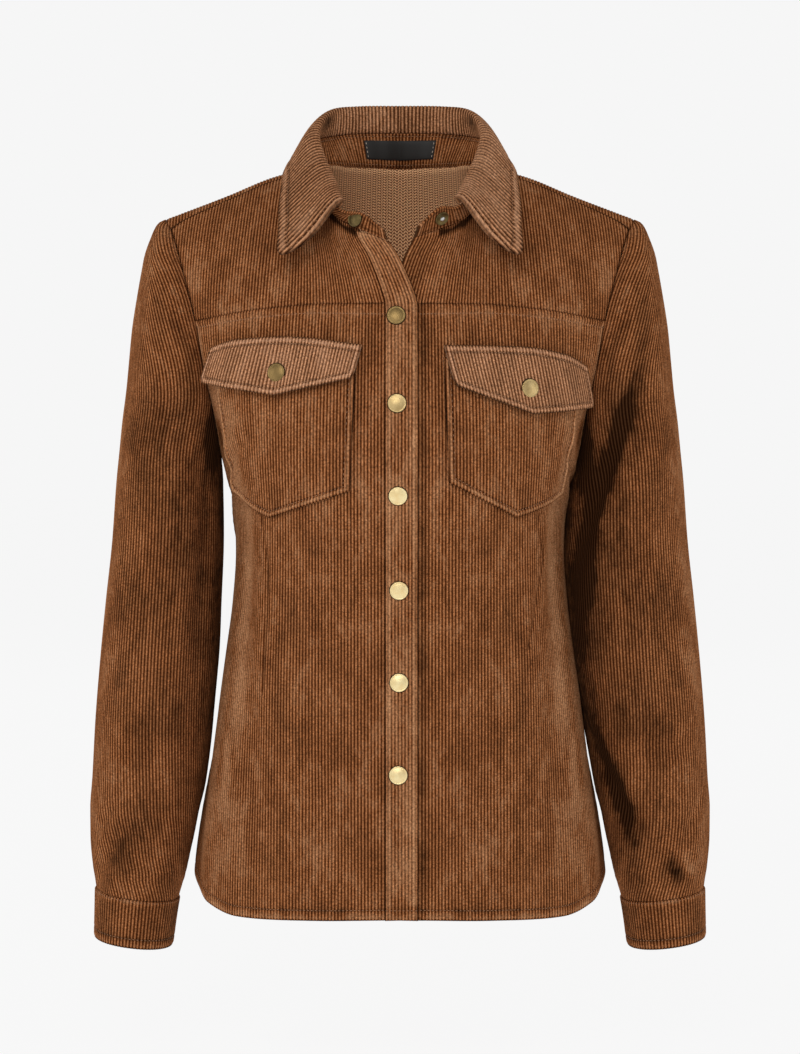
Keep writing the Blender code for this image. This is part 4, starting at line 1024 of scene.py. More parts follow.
# %% [markdown]
# ## Front yokes
#
# The yoke is the panel over the shoulder. It starts at the yoke seam, and its top follows the neck and
# then the shoulder seam. Each column of points runs between those two lines, so no wale is cut short
# inside the panel.

# %% A grid between two lines, trimmed at the armhole
SHOULDER_ROWS = [0.945, 0.96, 0.97, 0.978, 0.986, 0.993]  # shares of a yoke, close to the shoulder seam
SHOULDER_FOLD, SHOULDER_FOLD_SHADE = 0.0035, (-1.8, 0.0014)  # the fold in front of the shoulder seam, and the painted shade in it


def shares(count, ends=(), reach=1.0):
    """Row shares from 0 to 1 with extra rows close to the given ones."""
    rows = set(np.linspace(0, 1, count).round(6))
    for end in ends:
        rows |= {round(float(np.clip(end + k * 0.0008 / reach, 0, 1)), 6) for k in (-2, -1, 0, 1, 2)}
    return np.array(sorted(rows))


def between(rows, low, high):
    """up as a function of across, between the lines low(across) and high(across)."""
    return lambda a: low(a) + rows[:, None] * (high(a) - low(a))


def neck_and_shoulder(side):
    """The upper line of a yoke: the neck seam, then the shoulder seam."""
    spots = np.linspace(NECK_ACROSS, TIP_ACROSS + 0.004, 30)
    ups = shoulder_up(np.minimum(spots, TIP_ACROSS), SEAM_FORWARD + HALF_SEAM)
    line_at = np.concatenate([neck_front(side).T, np.stack([spots, ups], axis=-1)])
    return lambda a: np.interp(a, line_at[:, 0], line_at[:, 1])


def yoke_cloth(side, mirrored):
    inner = FRONT_EDGE[side] + PLACKET - TUCK
    columns = wale_columns(inner, TIP_ACROSS - HALF_SEAM)
    rows = np.union1d(shares(13, (0, 1), 0.08), SHOULDER_ROWS)
    top = neck_and_shoulder(side)
    grid = grid_of(rows, columns)
    across, up = trimmed(FRONT, grid, between(rows, lambda a: yoke_seam(a) + HALF_SEAM, top))
    spots = np.linspace(inner, TIP_ACROSS, 60)
    top_line = list(zip(spots, top(spots)))
    spots = spots[spots < YOKE_END]
    low_line = list(zip(spots, yoke_seam(spots) + HALF_SEAM))
    ups = np.linspace(YOKE_ARM_UP, OVER, 40)
    arm_line = list(zip(limit_at(FRONT, ups), ups))
    lift = RIB_HEIGHT * rib(across) + sewn_lift(across, up, [top_line, low_line, arm_line])
    pile_and_shading = pile_and_shade_at(BODY_PILE_AND_PAINTED_SHADING, across, up, [top_line, arm_line])
    below, _ = distance_to([top_line], across, up)
    pile_and_shading = pile_and_shading + marked(below - SHOULDER_FOLD, SHOULDER_FOLD_SHADE)
    finishes = [BROWN, REVERSE]
    cloth(f"front_yoke_{side}", across, up, front_place(side), lift, CLOTH, finishes, mirrored, pile_and_shading)


for side, mirrored in SIDES:
    yoke_cloth(side, mirrored)

# %% [markdown]
# ## The back
#
# The back is one piece from the hem to the shoulder seams. It goes over the ridge of the shoulder and
# ends a little in front of it, which is why a thin strip of it shows from the front.

# %% The back panel
def back_top():
    """The upper line of the back: the neck seam, then the shoulder seam, over the ridge."""
    middle = np.linspace(0, NECK_BACK[-1][0], 24)
    neck = list(zip(middle, BACK.find_up(middle, smooth(middle, *np.array(NECK_BACK).T))))
    spots = np.linspace(NECK_ACROSS, TIP_ACROSS + 0.004, 30)
    ups = 2 * OVER - shoulder_up(np.minimum(spots, TIP_ACROSS), SEAM_FORWARD - HALF_SEAM)
    line_at = np.array(neck + [(NECK_ACROSS - 0.0005, OVER)] + list(zip(spots, ups)))
    return lambda a: np.interp(np.abs(a), line_at[:, 0], line_at[:, 1])


BACK_TOP = back_top()


def back_cloth():
    columns = wale_columns(-WIDEST, WIDEST)
    low = float(hem_up(0.0))
    lower = spread(low, UNDERARM, 0.0105, [low + FOLD_ROW, low + HEM_STITCH])[:-1]
    upper = np.concatenate([np.linspace(0, 0.10, 9), np.linspace(0.13, 1, 23)])

    def whole(a):
        if a.ndim == 1:
            a = np.broadcast_to(a, (len(lower) + len(upper), len(a)))
        from_hem = 1 - ramp(lower, low + HEM_BEND[0], low + HEM_BEND[1])
        bent = lower[:, None] + (hem_up(a[: len(lower)]) - low) * from_hem[:, None]
        above = UNDERARM + upper[:, None] * (BACK_TOP(a[len(lower) :]) - UNDERARM)
        return np.concatenate([bent, above])

    grid = np.broadcast_to(columns, (len(lower) + len(upper), len(columns)))
    across, up = trimmed(BACK, grid, whole)
    spots = np.linspace(-WIDEST, WIDEST, 80)
    hem_line = list(zip(spots, hem_up(spots)))
    hem_stitch = [(a, u + HEM_STITCH) for a, u in hem_line]
    tops = np.linspace(-TIP_ACROSS, TIP_ACROSS, 80)
    top_line = list(zip(tops, BACK_TOP(tops)))
    ups = np.linspace(low + 0.02, OVER, 90)
    sides = [list(zip(k * limit_at(BACK, ups), ups)) for k in (-1, 1)]
    lift = RIB_HEIGHT * rib(across) + sewn_lift(across, up, [hem_line, top_line, *sides], [hem_stitch])

    def place(a, u, out):
        return body_at(BACK, a, u, out, "back")

    pile_and_shading = pile_and_shade_at(None, across, up, [hem_line, *sides], [hem_stitch])
    cloth("back", across, up, place, lift, CLOTH, [BROWN, REVERSE], pile_and_shading=pile_and_shading, sewn=[hem_stitch])


back_cloth()

# %% [markdown]
# ## Plackets
#
# The front edges are finished with a doubled strip each. The wearer's right lies on top. Its wales run
# along it, and it opens towards the neck where the last snap lets go.

# %% The two plackets
OVER_LIFT, UNDER_LIFT = 0.0020, -0.0010  # of the outer faces of the two plackets
PLACKET_TOP_GAP = {"right": 0.0024, "left": SEAM}  # below the collar stand
PLACKET_TONE_AND_SHADOW = {"right": 0.28, "left": -0.35}  # the top strip is lighter; the one under it is darker, a painted shadow of the strip over it
PLACKET_SIDE_SEAM_AND_SHADE = (-0.9, 0.0012)  # darker along both sides of a strip: the seam line and a painted shadow of the raised edge


def placket_cloth(side, mirrored, stands_out):
    edge = FRONT_EDGE[side]
    columns = wale_columns(edge, edge + PLACKET - SEAM)
    neck = neck_front(side)
    rows = shares(112, (0, 1), 0.55)
    grid = grid_of(rows, columns)

    def top(a):
        return np.interp(a, *neck) - PLACKET_TOP_GAP[side]

    up = between(rows, hem_up, top)(grid)
    ends = [[(a, -0.4), (a, 0.3)] for a in (columns[0], columns[-1])]  # past the hem and the neck
    ends += [[(a, float(line_at(a))) for a in (columns[0], columns[-1])] for line_at in (hem_up, top)]
    sewn = [[(a, float(hem_up(a)) + HEM_STITCH) for a in (columns[0], columns[-1])]]
    lift = stands_out + RIB_HEIGHT * rib(grid) + sewn_lift(grid, up, ends, sewn)
    pile_and_shading = PLACKET_TONE_AND_SHADOW[side] + pile_and_shade_at(None, grid, up, ends, sewn)
    near_side = np.minimum(grid - columns[0], columns[-1] - grid)
    pile_and_shading = pile_and_shading + marked(near_side, PLACKET_SIDE_SEAM_AND_SHADE)
    cloth(
        f"placket_{side}", grid, up, front_place(side), lift, 0.0, [BROWN, BROWN], mirrored, pile_and_shading,
        sewn=sewn, sewn_out=stands_out,
    )


placket_cloth("right", True, OVER_LIFT)
placket_cloth("left", False, UNDER_LIFT)

# %% [markdown]
# ## Chest pockets and their flaps
#
# A patch pocket is a shaped piece stitched on round three sides, with a pointed foot. The flap hides its
# mouth. Its wales lean, because its lower edge hangs a little to the outside, and it stands off the
# pocket so that it throws a shadow.

# %% Patch pockets
PATCH_GAP = 0.0010  # under a pocket, whose flat faces span the panel's curve
POCKET_LIFT = PATCH_GAP + CLOTH
POCKET_BACK = -PATCH_GAP * 0.3  # a wall below 0: the pocket's back stays among the ribs of the panel
POCKET_TOP = -0.158
POCKET = {
    "right": table("across height", (0.0400, -0.2630), (0.1100, -0.2870), (0.1690, -0.2690)),
    "left": table("across height", (0.0385, -0.2560), (0.0960, -0.2860), (0.1590, -0.2710)),
}
POCKET_MOUTH = (0.0350, 0.1620)  # across, of the pocket's top corners
FLAP = {
    "right": table(
        "share across top hang bottom",
        (0.0, 0.0303, -0.1490, 0.0365, -0.1755),
        (1.0, 0.0960, -0.1432, 0.1003, -0.1890),
        (1.6, 0.1380, -0.1455, 0.1480, -0.1822),
        (2.0, 0.1625, -0.1513, 0.1755, -0.1779),
    ),
    "left": table(
        "share across top hang bottom",
        (0.0, 0.0350, -0.1495, 0.0425, -0.1810),
        (1.0, 0.1000, -0.1510, 0.1055, -0.2035),
        (1.6, 0.1390, -0.1570, 0.1470, -0.2005),
        (2.0, 0.1620, -0.1665, 0.1740, -0.1985),
    ),
}
FLAP_NAP = {"right": 0.0, "left": -0.15}
FLAP_STANDS_OFF = 0.0055  # how far the lower edge of a flap stands off the pocket
FLAP_SPRING = 1.3  # how late it does so: 1 is straight from the top
POCKET_STITCH = 0.0050
POCKET_TURN = 0.0010  # how far the turned-in edge lifts the border of a pocket


def inset(points, by):
    """A closed outline moved inwards by a distance; the outline runs anticlockwise."""
    points = np.asarray(points, float)
    made = []
    for before, here, after in zip(np.roll(points, 1, 0), points, np.roll(points, -1, 0)):
        a, b = unit(here - before), unit(after - here)
        inwards = np.array([-a[1] - b[1], a[0] + b[0]])
        made.append(here + inwards * by / (1 + a @ b))
    return np.array(made)


def pocket_cloth(side, mirrored):
    """A pocket, whose rows run between its two slanting sides."""
    foot = np.array(on_front(zip(POCKET[side]["across"], POCKET[side]["height"])))
    mouth = np.array(on_front((a, POCKET_TOP) for a in POCKET_MOUTH))
    columns = wale_columns(min(foot[0, 0], mouth[0, 0]), max(foot[2, 0], mouth[1, 0]))
    rows = shares(140)
    grid = grid_of(rows, columns)
    up_of = between(rows, lambda a: np.interp(a, foot[:, 0], foot[:, 1]), lambda a: 0 * a + mouth[0, 1])
    across, up = grid, up_of(grid)
    for _ in range(4):
        share = (up - foot[0, 1]) / (mouth[0, 1] - foot[0, 1])
        low = foot[0, 0] + share * (mouth[0, 0] - foot[0, 0])
        share = (up - foot[2, 1]) / (mouth[1, 1] - foot[2, 1])
        high = foot[2, 0] + share * (mouth[1, 0] - foot[2, 0])
        across = np.clip(grid, low, high)
        up = up_of(across)
    outline = [foot[0], foot[1], foot[2], mouth[1], mouth[0]]
    inner = inset(outline, POCKET_STITCH)
    stitch = [mouth[0] + [POCKET_STITCH, 0], inner[0], inner[1], inner[2], mouth[1] - [POCKET_STITCH, 0]]
    sewn_edge = [mouth[0], *foot, mouth[1]]
    edges = [sewn_edge, mouth]
    lift = POCKET_LIFT + RIB_HEIGHT * rib(across) + sewn_lift(across, up, edges, [stitch])
    away, _ = distance_to([sewn_edge], across, up)
    lift = lift + POCKET_TURN * (1 - ramp(away, POCKET_STITCH - 0.002, POCKET_STITCH))
    pile_and_shading = pile_and_shade_at(BODY_PILE_AND_PAINTED_SHADING, across, up, edges, [stitch])
    cloth(
        f"pocket_{side}", across, up, front_place(side), lift, POCKET_BACK, [BROWN, REVERSE], mirrored,
        pile_and_shading, sewn=[stitch], sewn_out=POCKET_LIFT,
    )


for side, mirrored in SIDES:
    pocket_cloth(side, mirrored)

# %% Pocket flaps
FLAP_STITCH, FLAP_BAND, FLAP_CORNER = 0.0048, 0.0056, 0.0050


def rounded(length, at, start, end, radius):
    """A length that falls off in a quarter circle beside each end, for a turned corner."""
    off = np.clip(radius - np.minimum(np.asarray(at) - start, end - np.asarray(at)), 0, radius)
    return length(at) - radius + np.sqrt(radius**2 - off**2)


def flap_cloth(side, mirrored):
    """A flap; in the flat it hangs from 0 at its seam to -length(across) at its foot."""
    shape = FLAP[side]
    wide = shape["across"][-1] - shape["across"][0]
    columns = wale_columns(0, wide)
    rows = shares(64)

    def lines(x):
        share = np.clip(x / wide * 2, 0, 2)
        top = smooth(share, shape["share"], shape["top"])
        straight = (np.interp(share, shape["share"], shape[c]) for c in ("bottom", "hang", "across"))
        return top, *straight

    spots = np.linspace(0, wide, 60)
    top, bottom, hang, across = lines(spots)
    depth = np.hypot(top - bottom, hang - across)

    def length(x):
        return np.interp(x, spots, depth)

    def place(x, y, out):
        top, bottom, hang, across = lines(x)
        v = np.clip(1 + y / length(x), 0, 1)
        a = (1 - v) * hang + v * across
        u = FRONT.find_up(a, (1 - v) * bottom + v * top)
        return body_at(FRONT, a, u, out + FLAP_STANDS_OFF * (1 - v) ** FLAP_SPRING, side)

    def tall(x):
        return rounded(length, x, 0, wide, FLAP_CORNER)

    grid = grid_of(rows, columns)
    up = -(1 - rows[:, None]) * tall(grid)
    outline = [*((x, -float(tall(x))) for x in spots), (wide, 0), (0, 0)]
    edges = [outline + outline[:1]]
    base = POCKET_LIFT + ON_TOP + DOUBLE
    foot = [(x, -length(x) + FLAP_STITCH) for x in np.linspace(FLAP_STITCH, wide - FLAP_STITCH, 40)]
    around = [(FLAP_STITCH, -FLAP_BAND), *foot, (wide - FLAP_STITCH, -FLAP_BAND)]
    stitches = [around, [(0.001, -FLAP_BAND), (wide - 0.001, -FLAP_BAND)]]
    lift = base + RIB_HEIGHT * rib(grid) + sewn_lift(grid, up, edges, stitches)
    pile_and_shading = FLAP_NAP[side] + pile_and_shade_at(None, grid, up, edges, stitches)
    cloth(
        f"pocket_flap_{side}", grid, up, place, lift, -base + DOUBLE, [BRUSHED, BROWN], mirrored, pile_and_shading,
        sewn=stitches, sewn_out=base,
    )
    return place, base, wide, length


FLAP_PLACES = {side: flap_cloth(side, mirrored) for side, mirrored in SIDES}

# %% [markdown]
# ## The sleeves
#
# A sleeve is a tapered tube cut from one piece, with a rounded cap at the top that is eased into the
# armhole. Its own form is a stack of ovals. The cloth is laid on it by its distance from the outer line
# of the arm, so the wales run down the arm, and they reach the seam at a slant on the cap.

# %% Sizes of the sleeve form
SLEEVE = table(
    "height outer half_width half_depth centre_y",
    (-0.0480, 0.1925, 0.0010, 0.0008, 0.000),
    (-0.0513, 0.1990, 0.0085, 0.0100, 0.000),
    (-0.0646, 0.2056, 0.0208, 0.0280, 0.000),
    (-0.0780, 0.2103, 0.0296, 0.0390, 0.000),
    (-0.0888, 0.2125, 0.0350, 0.0450, 0.001),
    (-0.1137, 0.2170, 0.0408, 0.0540, 0.001),
    (-0.1387, 0.2210, 0.0428, 0.0600, 0.002),
    (-0.1636, 0.2235, 0.0432, 0.0630, 0.002),
    (-0.1886, 0.2260, 0.0431, 0.0640, 0.002),
    (-0.2136, 0.2294, 0.0424, 0.0640, 0.002),
    (-0.2385, 0.2320, 0.0414, 0.0640, 0.002),
    (-0.2635, 0.2346, 0.0434, 0.0630, 0.001),
    (-0.3134, 0.2384, 0.0456, 0.0610, -0.001),
    (-0.3633, 0.2440, 0.0474, 0.0585, -0.003),
    (-0.4133, 0.2490, 0.0487, 0.0570, -0.006),
    (-0.4632, 0.2530, 0.0484, 0.0550, -0.010),
    (-0.5131, 0.2557, 0.0466, 0.0510, -0.013),
    (-0.5381, 0.2574, 0.0443, 0.0480, -0.015),
    (-0.5630, 0.2573, 0.0416, 0.0450, -0.016),
    (-0.5880, 0.2554, 0.0378, 0.0410, -0.017),
    (-0.6060, 0.2529, 0.0339, 0.0385, -0.018),
    (-0.6500, 0.2538, 0.0310, 0.0365, -0.020),
)
SLEEVE_ROUNDNESS = 2.15
# How much wider each sleeve hangs towards the body, half of it on either side of its middle.
FULLER = {
    "right": table("height half_width", (-0.700, 0.0), (0.0, 0.0)),
    "left": table(
        "height half_width",
        (-0.700, 0.0000),
        (-0.540, 0.0000),
        (-0.450, 0.0022),
        (-0.380, 0.0052),
        (-0.300, 0.0060),
        (-0.230, 0.0030),
        (-0.170, 0.0000),
        (0.000, 0.0000),
    ),
}
CUFF_TILT = 0.13  # of the sleeve's end, square to the forearm
CUFF_TOP, CUFF_BOTTOM = -0.6060, -0.6460
BODY_DEPTH = 0.120  # of half the body beside the sleeve
BODY_CLEAR = 0.0008  # kept between the body and the inside of the sleeve
SEAM_PULL = 3  # how late a row of the sleeve bends towards the armhole seam
# Folds on the sleeves: place is the angle from the outer line, towards the front.
SLEEVE_FOLDS = {
    "right": table(
        FOLDS,
        (2.35, -0.330, -0.0045, 0.25, 0.120, 0.5),
        (1.05, -0.565, -0.0050, 0.30, 0.026, 14.0),
        (1.75, -0.205, -0.0030, 0.22, 0.045, -6.0),
        (-1.60, -0.415, -0.0045, 0.60, 0.014, 0.0),
        (-1.30, -0.455, -0.0040, 0.55, 0.012, 0.0),
        (0.70, -0.330, 0.0020, 0.30, 0.090, 0.0),
    ),
    "left": table(
        FOLDS,
        (2.04, -0.266, -0.0085, 0.22, 0.075, -8.5),
        (1.45, -0.300, 0.0025, 0.25, 0.090, -5.0),
        (2.30, -0.515, -0.0060, 0.22, 0.035, 10.0),
        (1.05, -0.476, -0.0020, 0.25, 0.012, 6.0),
        (-1.60, -0.400, -0.0045, 0.60, 0.014, 0.0),
        (-1.30, -0.445, -0.0045, 0.55, 0.013, 0.0),
    ),
}


def armhole_points(form):
    """The armhole seam as rows of (height, x, y), from the underarm to the shoulder tip."""
    ups = np.linspace(UNDERARM, OVER, 80)
    seam = body_at(form, form.armhole_at(ups), ups, 0.0)
    return seam[:, 2], seam[:, 0], seam[:, 1]


ARM_FRONT, ARM_BACK = armhole_points(FRONT), armhole_points(BACK)
CAP_LOW = float(ARM_FRONT[0][0])  # the height where the sleeve closes under the arm


def sleeve_ring(side, height, around):
    """The sleeve's outer face without its folds; around runs over -pi to pi, front positive."""
    outer, wide, deep, middle = (
        smooth(height, SLEEVE["height"][::-1], SLEEVE[c][::-1])
        for c in ("outer", "half_width", "half_depth", "centre_y")
    )
    wide = wide + smooth(height, FULLER[side]["height"], FULLER[side]["half_width"])
    power = 2 / SLEEVE_ROUNDNESS
    x = outer - wide + wide * np.sign(np.cos(around)) * np.abs(np.cos(around)) ** power
    y = middle - deep * np.sign(np.sin(around)) * np.abs(np.sin(around)) ** power
    return x, y, outer, wide


# %% The sleeve form, looked up by (distance from the outer line, height)
ARMHOLE_GAP = -0.0004  # at the armhole, where the sleeve is tucked against the panel
PULL_FADE = 0.050  # below the armhole, where the sleeve comes back to its own form
CAP_TOP, CAP_FIRST = -0.0482, -0.0486  # heights of the form's upper end and of the cloth's first row
SLEEVE_STEP = 0.002  # between the points that give the form its direction
SLEEVE_REACH, SLEEVE_SPOTS = 0.195, 391  # how far round the form's grid goes, and its columns
CAP_SMOOTH = 0.12  # of a cap's row beside the seam, where its folds fade out
SMALL_SLEEVE_FOLDS = {
    "right": table(
        FOLDS,
        (1.45, -0.245, -0.0016, 0.10, 0.020, -9.0),
        (1.10, -0.400, 0.0012, 0.12, 0.060, 1.0),
        (0.90, -0.540, -0.0022, 0.12, 0.018, 16.0),
        (1.50, -0.590, -0.0018, 0.10, 0.010, 0.0),
        (0.55, -0.592, -0.0018, 0.10, 0.010, 0.0),
        (1.05, -0.594, 0.0014, 0.10, 0.010, 0.0),
        (1.90, -0.560, -0.0018, 0.14, 0.030, 3.0),
        (0.60, -0.120, -0.0012, 0.16, 0.030, 2.0),
    ),
    "left": table(
        FOLDS,
        (1.62, -0.215, 0.0018, 0.10, 0.040, -7.0),
        (1.20, -0.430, -0.0014, 0.14, 0.050, -2.0),
        (1.00, -0.545, -0.0026, 0.12, 0.020, -12.0),
        (1.60, -0.590, -0.0018, 0.10, 0.010, 0.0),
        (0.70, -0.592, -0.0018, 0.10, 0.010, 0.0),
        (1.15, -0.594, 0.0014, 0.10, 0.010, 0.0),
        (1.75, -0.150, -0.0016, 0.12, 0.030, -3.0),
        (1.35, -0.365, 0.0016, 0.14, 0.040, -3.0),
    ),
}


class SleeveForm:
    """One sleeve, looked up by the distance from its outer line (front positive) and by height."""

    def __init__(self, side):
        cap, arm = np.linspace(CAP_TOP, CAP_LOW, 120), np.linspace(CAP_LOW - 0.0005, -0.65, 220)
        self.heights = np.concatenate([cap, arm])
        places = np.linspace(-SLEEVE_REACH, SLEEVE_REACH, SLEEVE_SPOTS)
        share = np.linspace(-1, 1, 241)
        self.points = np.empty((len(self.heights), SLEEVE_SPOTS, 3))
        self.front, self.back = np.empty(len(self.heights)), np.empty(len(self.heights))
        for i, height in enumerate(self.heights):
            ring = self.ring(side, share, height)
            run = run_along(ring)
            run -= run[len(share) // 2]
            self.front[i], self.back[i] = run[-1], -run[0]
            self.points[i] = on_line(ring, run, places)

    def ring(self, side, share, height):
        """One row of the sleeve. share is -1 at the back, 0 on the outer line, 1 at the front."""
        height = np.full(share.shape, height)
        _, _, outer, wide = sleeve_ring(side, height, 0 * share)
        ends = []
        for seam in (ARM_FRONT, ARM_BACK):
            end_x = np.interp(height, seam[0], seam[1]) + ARMHOLE_GAP
            end_y = np.interp(height, seam[0], seam[2])
            turn = np.arccos(np.clip((end_x - outer + wide) / wide, -1, 1))
            ends.append((end_x, end_y, np.where(height < CAP_LOW, math.pi, turn)))
        end_x, end_y, cut = (np.where(share >= 0, f, b) for f, b in zip(*ends))
        around = share * cut
        x, y, outer, wide = sleeve_ring(side, height, around)
        stop_x, stop_y, _, _ = sleeve_ring(side, height, np.where(share >= 0, cut, -cut))
        pull = np.where(height < CAP_LOW, 0, np.abs(share) ** SEAM_PULL)
        x, y = x + pull * (end_x - stop_x), y + pull * (end_y - stop_y)
        shift_x, shift_y = self.below_armhole(side, around, height[0])
        x, y = x + shift_x, y + shift_y
        tilt = CUFF_TILT * (1 - ramp(height, CUFF_TOP, CUFF_TOP + 0.15))
        ring = np.stack([x, y, height + tilt * (x - outer + wide)], axis=-1)
        fold = folds_at(SLEEVE_FOLDS[side], around, height, around=True)
        fold = fold + folds_at(SMALL_SLEEVE_FOLDS[side], around, height, around=True)
        fold = fold * np.where(height < CAP_LOW, 1, ramp(1 - np.abs(share), 0.0, CAP_SMOOTH))
        out = np.stack([np.cos(around), -np.sin(around), 0 * around], axis=-1)
        ring = ring + out * fold[:, None]
        body_wide = smooth(ring[:, 2], BODY["height"], BODY["half_width"])
        deep = np.clip(np.abs(ring[:, 1]) / BODY_DEPTH, 0, 1)
        beside = body_wide * (1 - deep**ROUNDNESS) ** (1 / ROUNDNESS) + BODY_CLEAR
        inside = (height < CAP_LOW) & (np.cos(around) < 0)
        ring[:, 0] = np.where(inside, np.maximum(ring[:, 0], beside), ring[:, 0])
        return ring

    def below_armhole(self, side, around, height):
        """What the pull towards the armhole leaves below it, fading out down the arm."""
        if not CAP_LOW - PULL_FADE < height < CAP_LOW:
            return 0, 0
        level = np.full(around.shape, CAP_LOW)
        _, _, outer, wide = sleeve_ring(side, level, 0 * around)
        shifts = []
        for seam, sign in ((ARM_FRONT, 1), (ARM_BACK, -1)):
            end_x, end_y = float(seam[1][0]) + ARMHOLE_GAP, float(seam[2][0])
            cut = np.arccos(np.clip((end_x - outer + wide) / wide, -1, 1))
            stop_x, stop_y, _, _ = sleeve_ring(side, level, sign * cut)
            before = np.clip(np.abs(around) / cut, 0, 1) ** SEAM_PULL
            after = 1 - ramp(np.abs(around), cut, math.pi)
            share = np.where(around * sign >= 0, before * after, 0)
            shifts.append((share * (end_x - stop_x), share * (end_y - stop_y)))
        fade = float(ramp(height, CAP_LOW - PULL_FADE, CAP_LOW))
        return tuple(fade * (a + b) for a, b in zip(*shifts))

    def at(self, place, height):
        """Points of the form, between those of its grid."""
        row = np.interp(-height, -self.heights, np.arange(len(self.heights)))
        share = (np.clip(place, -SLEEVE_REACH, SLEEVE_REACH) + SLEEVE_REACH) / (2 * SLEEVE_REACH)
        return on_grid(self.points, row, share * (SLEEVE_SPOTS - 1))

    def limits(self, height):
        """How far the row reaches, to the back and to the front."""
        return (np.interp(-height, -self.heights, side) for side in (self.back, self.front))

    def lifted(self, place, height, lift):
        """Points moved out of the form by lift."""
        step = SLEEVE_STEP
        back, front = self.limits(height)
        here = self.at(place, height)
        near, far = np.maximum(place - step, -back), np.minimum(place + step, front)
        across = self.at(far, height) - self.at(near, height)
        upward = self.at(place, np.minimum(height + step, CAP_TOP - 0.0001)) - self.at(place, height - step)
        normal = unit(np.cross(upward, across))
        return here + normal * np.asarray(lift)[..., None]


SLEEVES = {side: SleeveForm(side) for side in ("right", "left")}
print("sleeve girth under the arm:", round(float(sum(SLEEVES["left"].limits(-0.25))), 3))

# %% Sleeves
SLEEVE_WALL = 0.0014
SLEEVE_WIDEST = 0.186  # across, past both ends of the widest row
SLEEVE_END = 0.00015  # kept free at the armhole seam and at the seam under the arm
CAP_TWIST, TWIST_FROM = 0.105, -0.215  # how far the wales turn at the top, and the height they turn from


def sleeve_twist(height):
    """How far the wales are turned back round the cap, so that they run forward down to its seam."""
    share = (np.asarray(height) - TWIST_FROM) / (SHOULDER_TIP_HEIGHT - TWIST_FROM)
    return CAP_TWIST * np.clip(share, 0, 1) ** 2


def sleeve_grid(form, columns, heights):
    """The flat sleeve, whose wales are cut off where a row ends."""
    height = np.broadcast_to(heights[:, None], (len(heights), len(columns)))
    back, front = form.limits(height)
    turned = sleeve_twist(height)
    return np.clip(columns - turned, -back + SLEEVE_END, front - SLEEVE_END) + turned, height


def sleeve_cloth(side, mirrored):
    form = SLEEVES[side]
    columns = wale_columns(-SLEEVE_WIDEST, SLEEVE_WIDEST)
    cap = CAP_FIRST - (abs(CAP_LOW) + CAP_FIRST) * np.linspace(0, 1, 34) ** 1.6
    near = CAP_LOW - np.array([0.0006, 0.002, 0.004, 0.007])
    low = CUFF_TOP + SEAM
    arm = spread(low, CAP_LOW - 0.010, 0.0078, [low + 0.0014])
    heights = np.concatenate([arm, near[::-1], cap[::-1]])
    across, height = sleeve_grid(form, columns, heights)
    edges = [[(-0.12, low), (0.12, low)]]
    for ups in (np.linspace(CAP_FIRST, CAP_LOW + 0.0002, 90), np.linspace(CAP_LOW - 0.0008, low, 70)):
        back, front = form.limits(ups)
        turned = sleeve_twist(ups)
        edges += [list(zip(front + turned, ups)), list(zip(turned - back, ups))]
    lift = RIB_HEIGHT * rib(across) + 0.5 * sewn_lift(across, height, edges)

    def place(a, z, out):
        return form.lifted(a - sleeve_twist(z), z, out)

    pile_and_shading = pile_and_shade_at(SLEEVE_PAINTED_SHADING[side], across - sleeve_twist(height), height)
    pile_and_shading = pile_and_shading + pile_and_shade_at(None, across, height, edges[1:])
    finishes = [BROWN, REVERSE]
    cloth(f"sleeve_{side}", across, height, place, lift, SLEEVE_WALL, finishes, mirrored, pile_and_shading)


for side, mirrored in SIDES:
    sleeve_cloth(side, mirrored)

# %% [markdown]
# ## Cuffs
#
# The cuff is a doubled band, a little tighter than the sleeve's end. A pale row of stitches joins it to
# the sleeve.

# %% The two cuffs
CUFF_OUT = 0.0006  # how far the doubled cuff stands out of the sleeve's line
CUFF_FACE = 0.0006  # and its outer layer out of that
CUFF_STITCH, CUFF_JOIN = 0.0078, 0.0012  # rows of stitches above the lower edge and under the upper one
CUFF_MIDDLE = -0.625  # the height that the cuff's length is measured at
JOIN_PILE = (1.1, 0.0010)  # the pale line along the join
CUFF_SHADE, CUFF_INNER_SHADE_AT, CUFF_INNER_SHADE = -0.22, 0.115, (-0.6, 0.030)  # painted shade: some over the whole cuff, and more on its inner side, towards the body


def cuff_cloth(side, mirrored):
    form = SLEEVES[side]
    back, front = (float(x) for x in form.limits(np.array(CUFF_MIDDLE)))
    columns = wale_columns(-back, front)
    heights = spread(CUFF_BOTTOM, CUFF_TOP, 0.0022, [CUFF_BOTTOM + CUFF_STITCH])
    across = grid_of(heights, columns)
    height = np.broadcast_to(heights[:, None], across.shape)

    def place(a, z, lift):
        here_back, here_front = form.limits(z)
        share = np.where(a < 0, a / back * here_back, a / front * here_front)
        return form.lifted(share, z, lift)

    ends = [[(-0.2, z), (0.2, z)] for z in (CUFF_BOTTOM, CUFF_TOP)]
    join = CUFF_TOP - CUFF_JOIN
    low, high = ([(-back, z), (front, z)] for z in (CUFF_BOTTOM + CUFF_STITCH, join))
    lift = CUFF_OUT + CUFF_FACE + RIB_HEIGHT * rib(across) + sewn_lift(across, height, ends, [low])
    pile_and_shading = CUFF_SHADE + pile_and_shade_at(None, across, height, ends[:1], [low])
    pile_and_shading = pile_and_shading + marked(join - height, JOIN_PILE) + marked(across - CUFF_INNER_SHADE_AT, CUFF_INNER_SHADE)
    cloth(
        f"cuff_{side}", across, height, place, lift, SLEEVE_WALL, [BROWN, BROWN], mirrored, pile_and_shading,
        sewn=[low, high], sewn_out=CUFF_OUT + 0.0007,
    )


for side, mirrored in SIDES:
    cuff_cloth(side, mirrored)

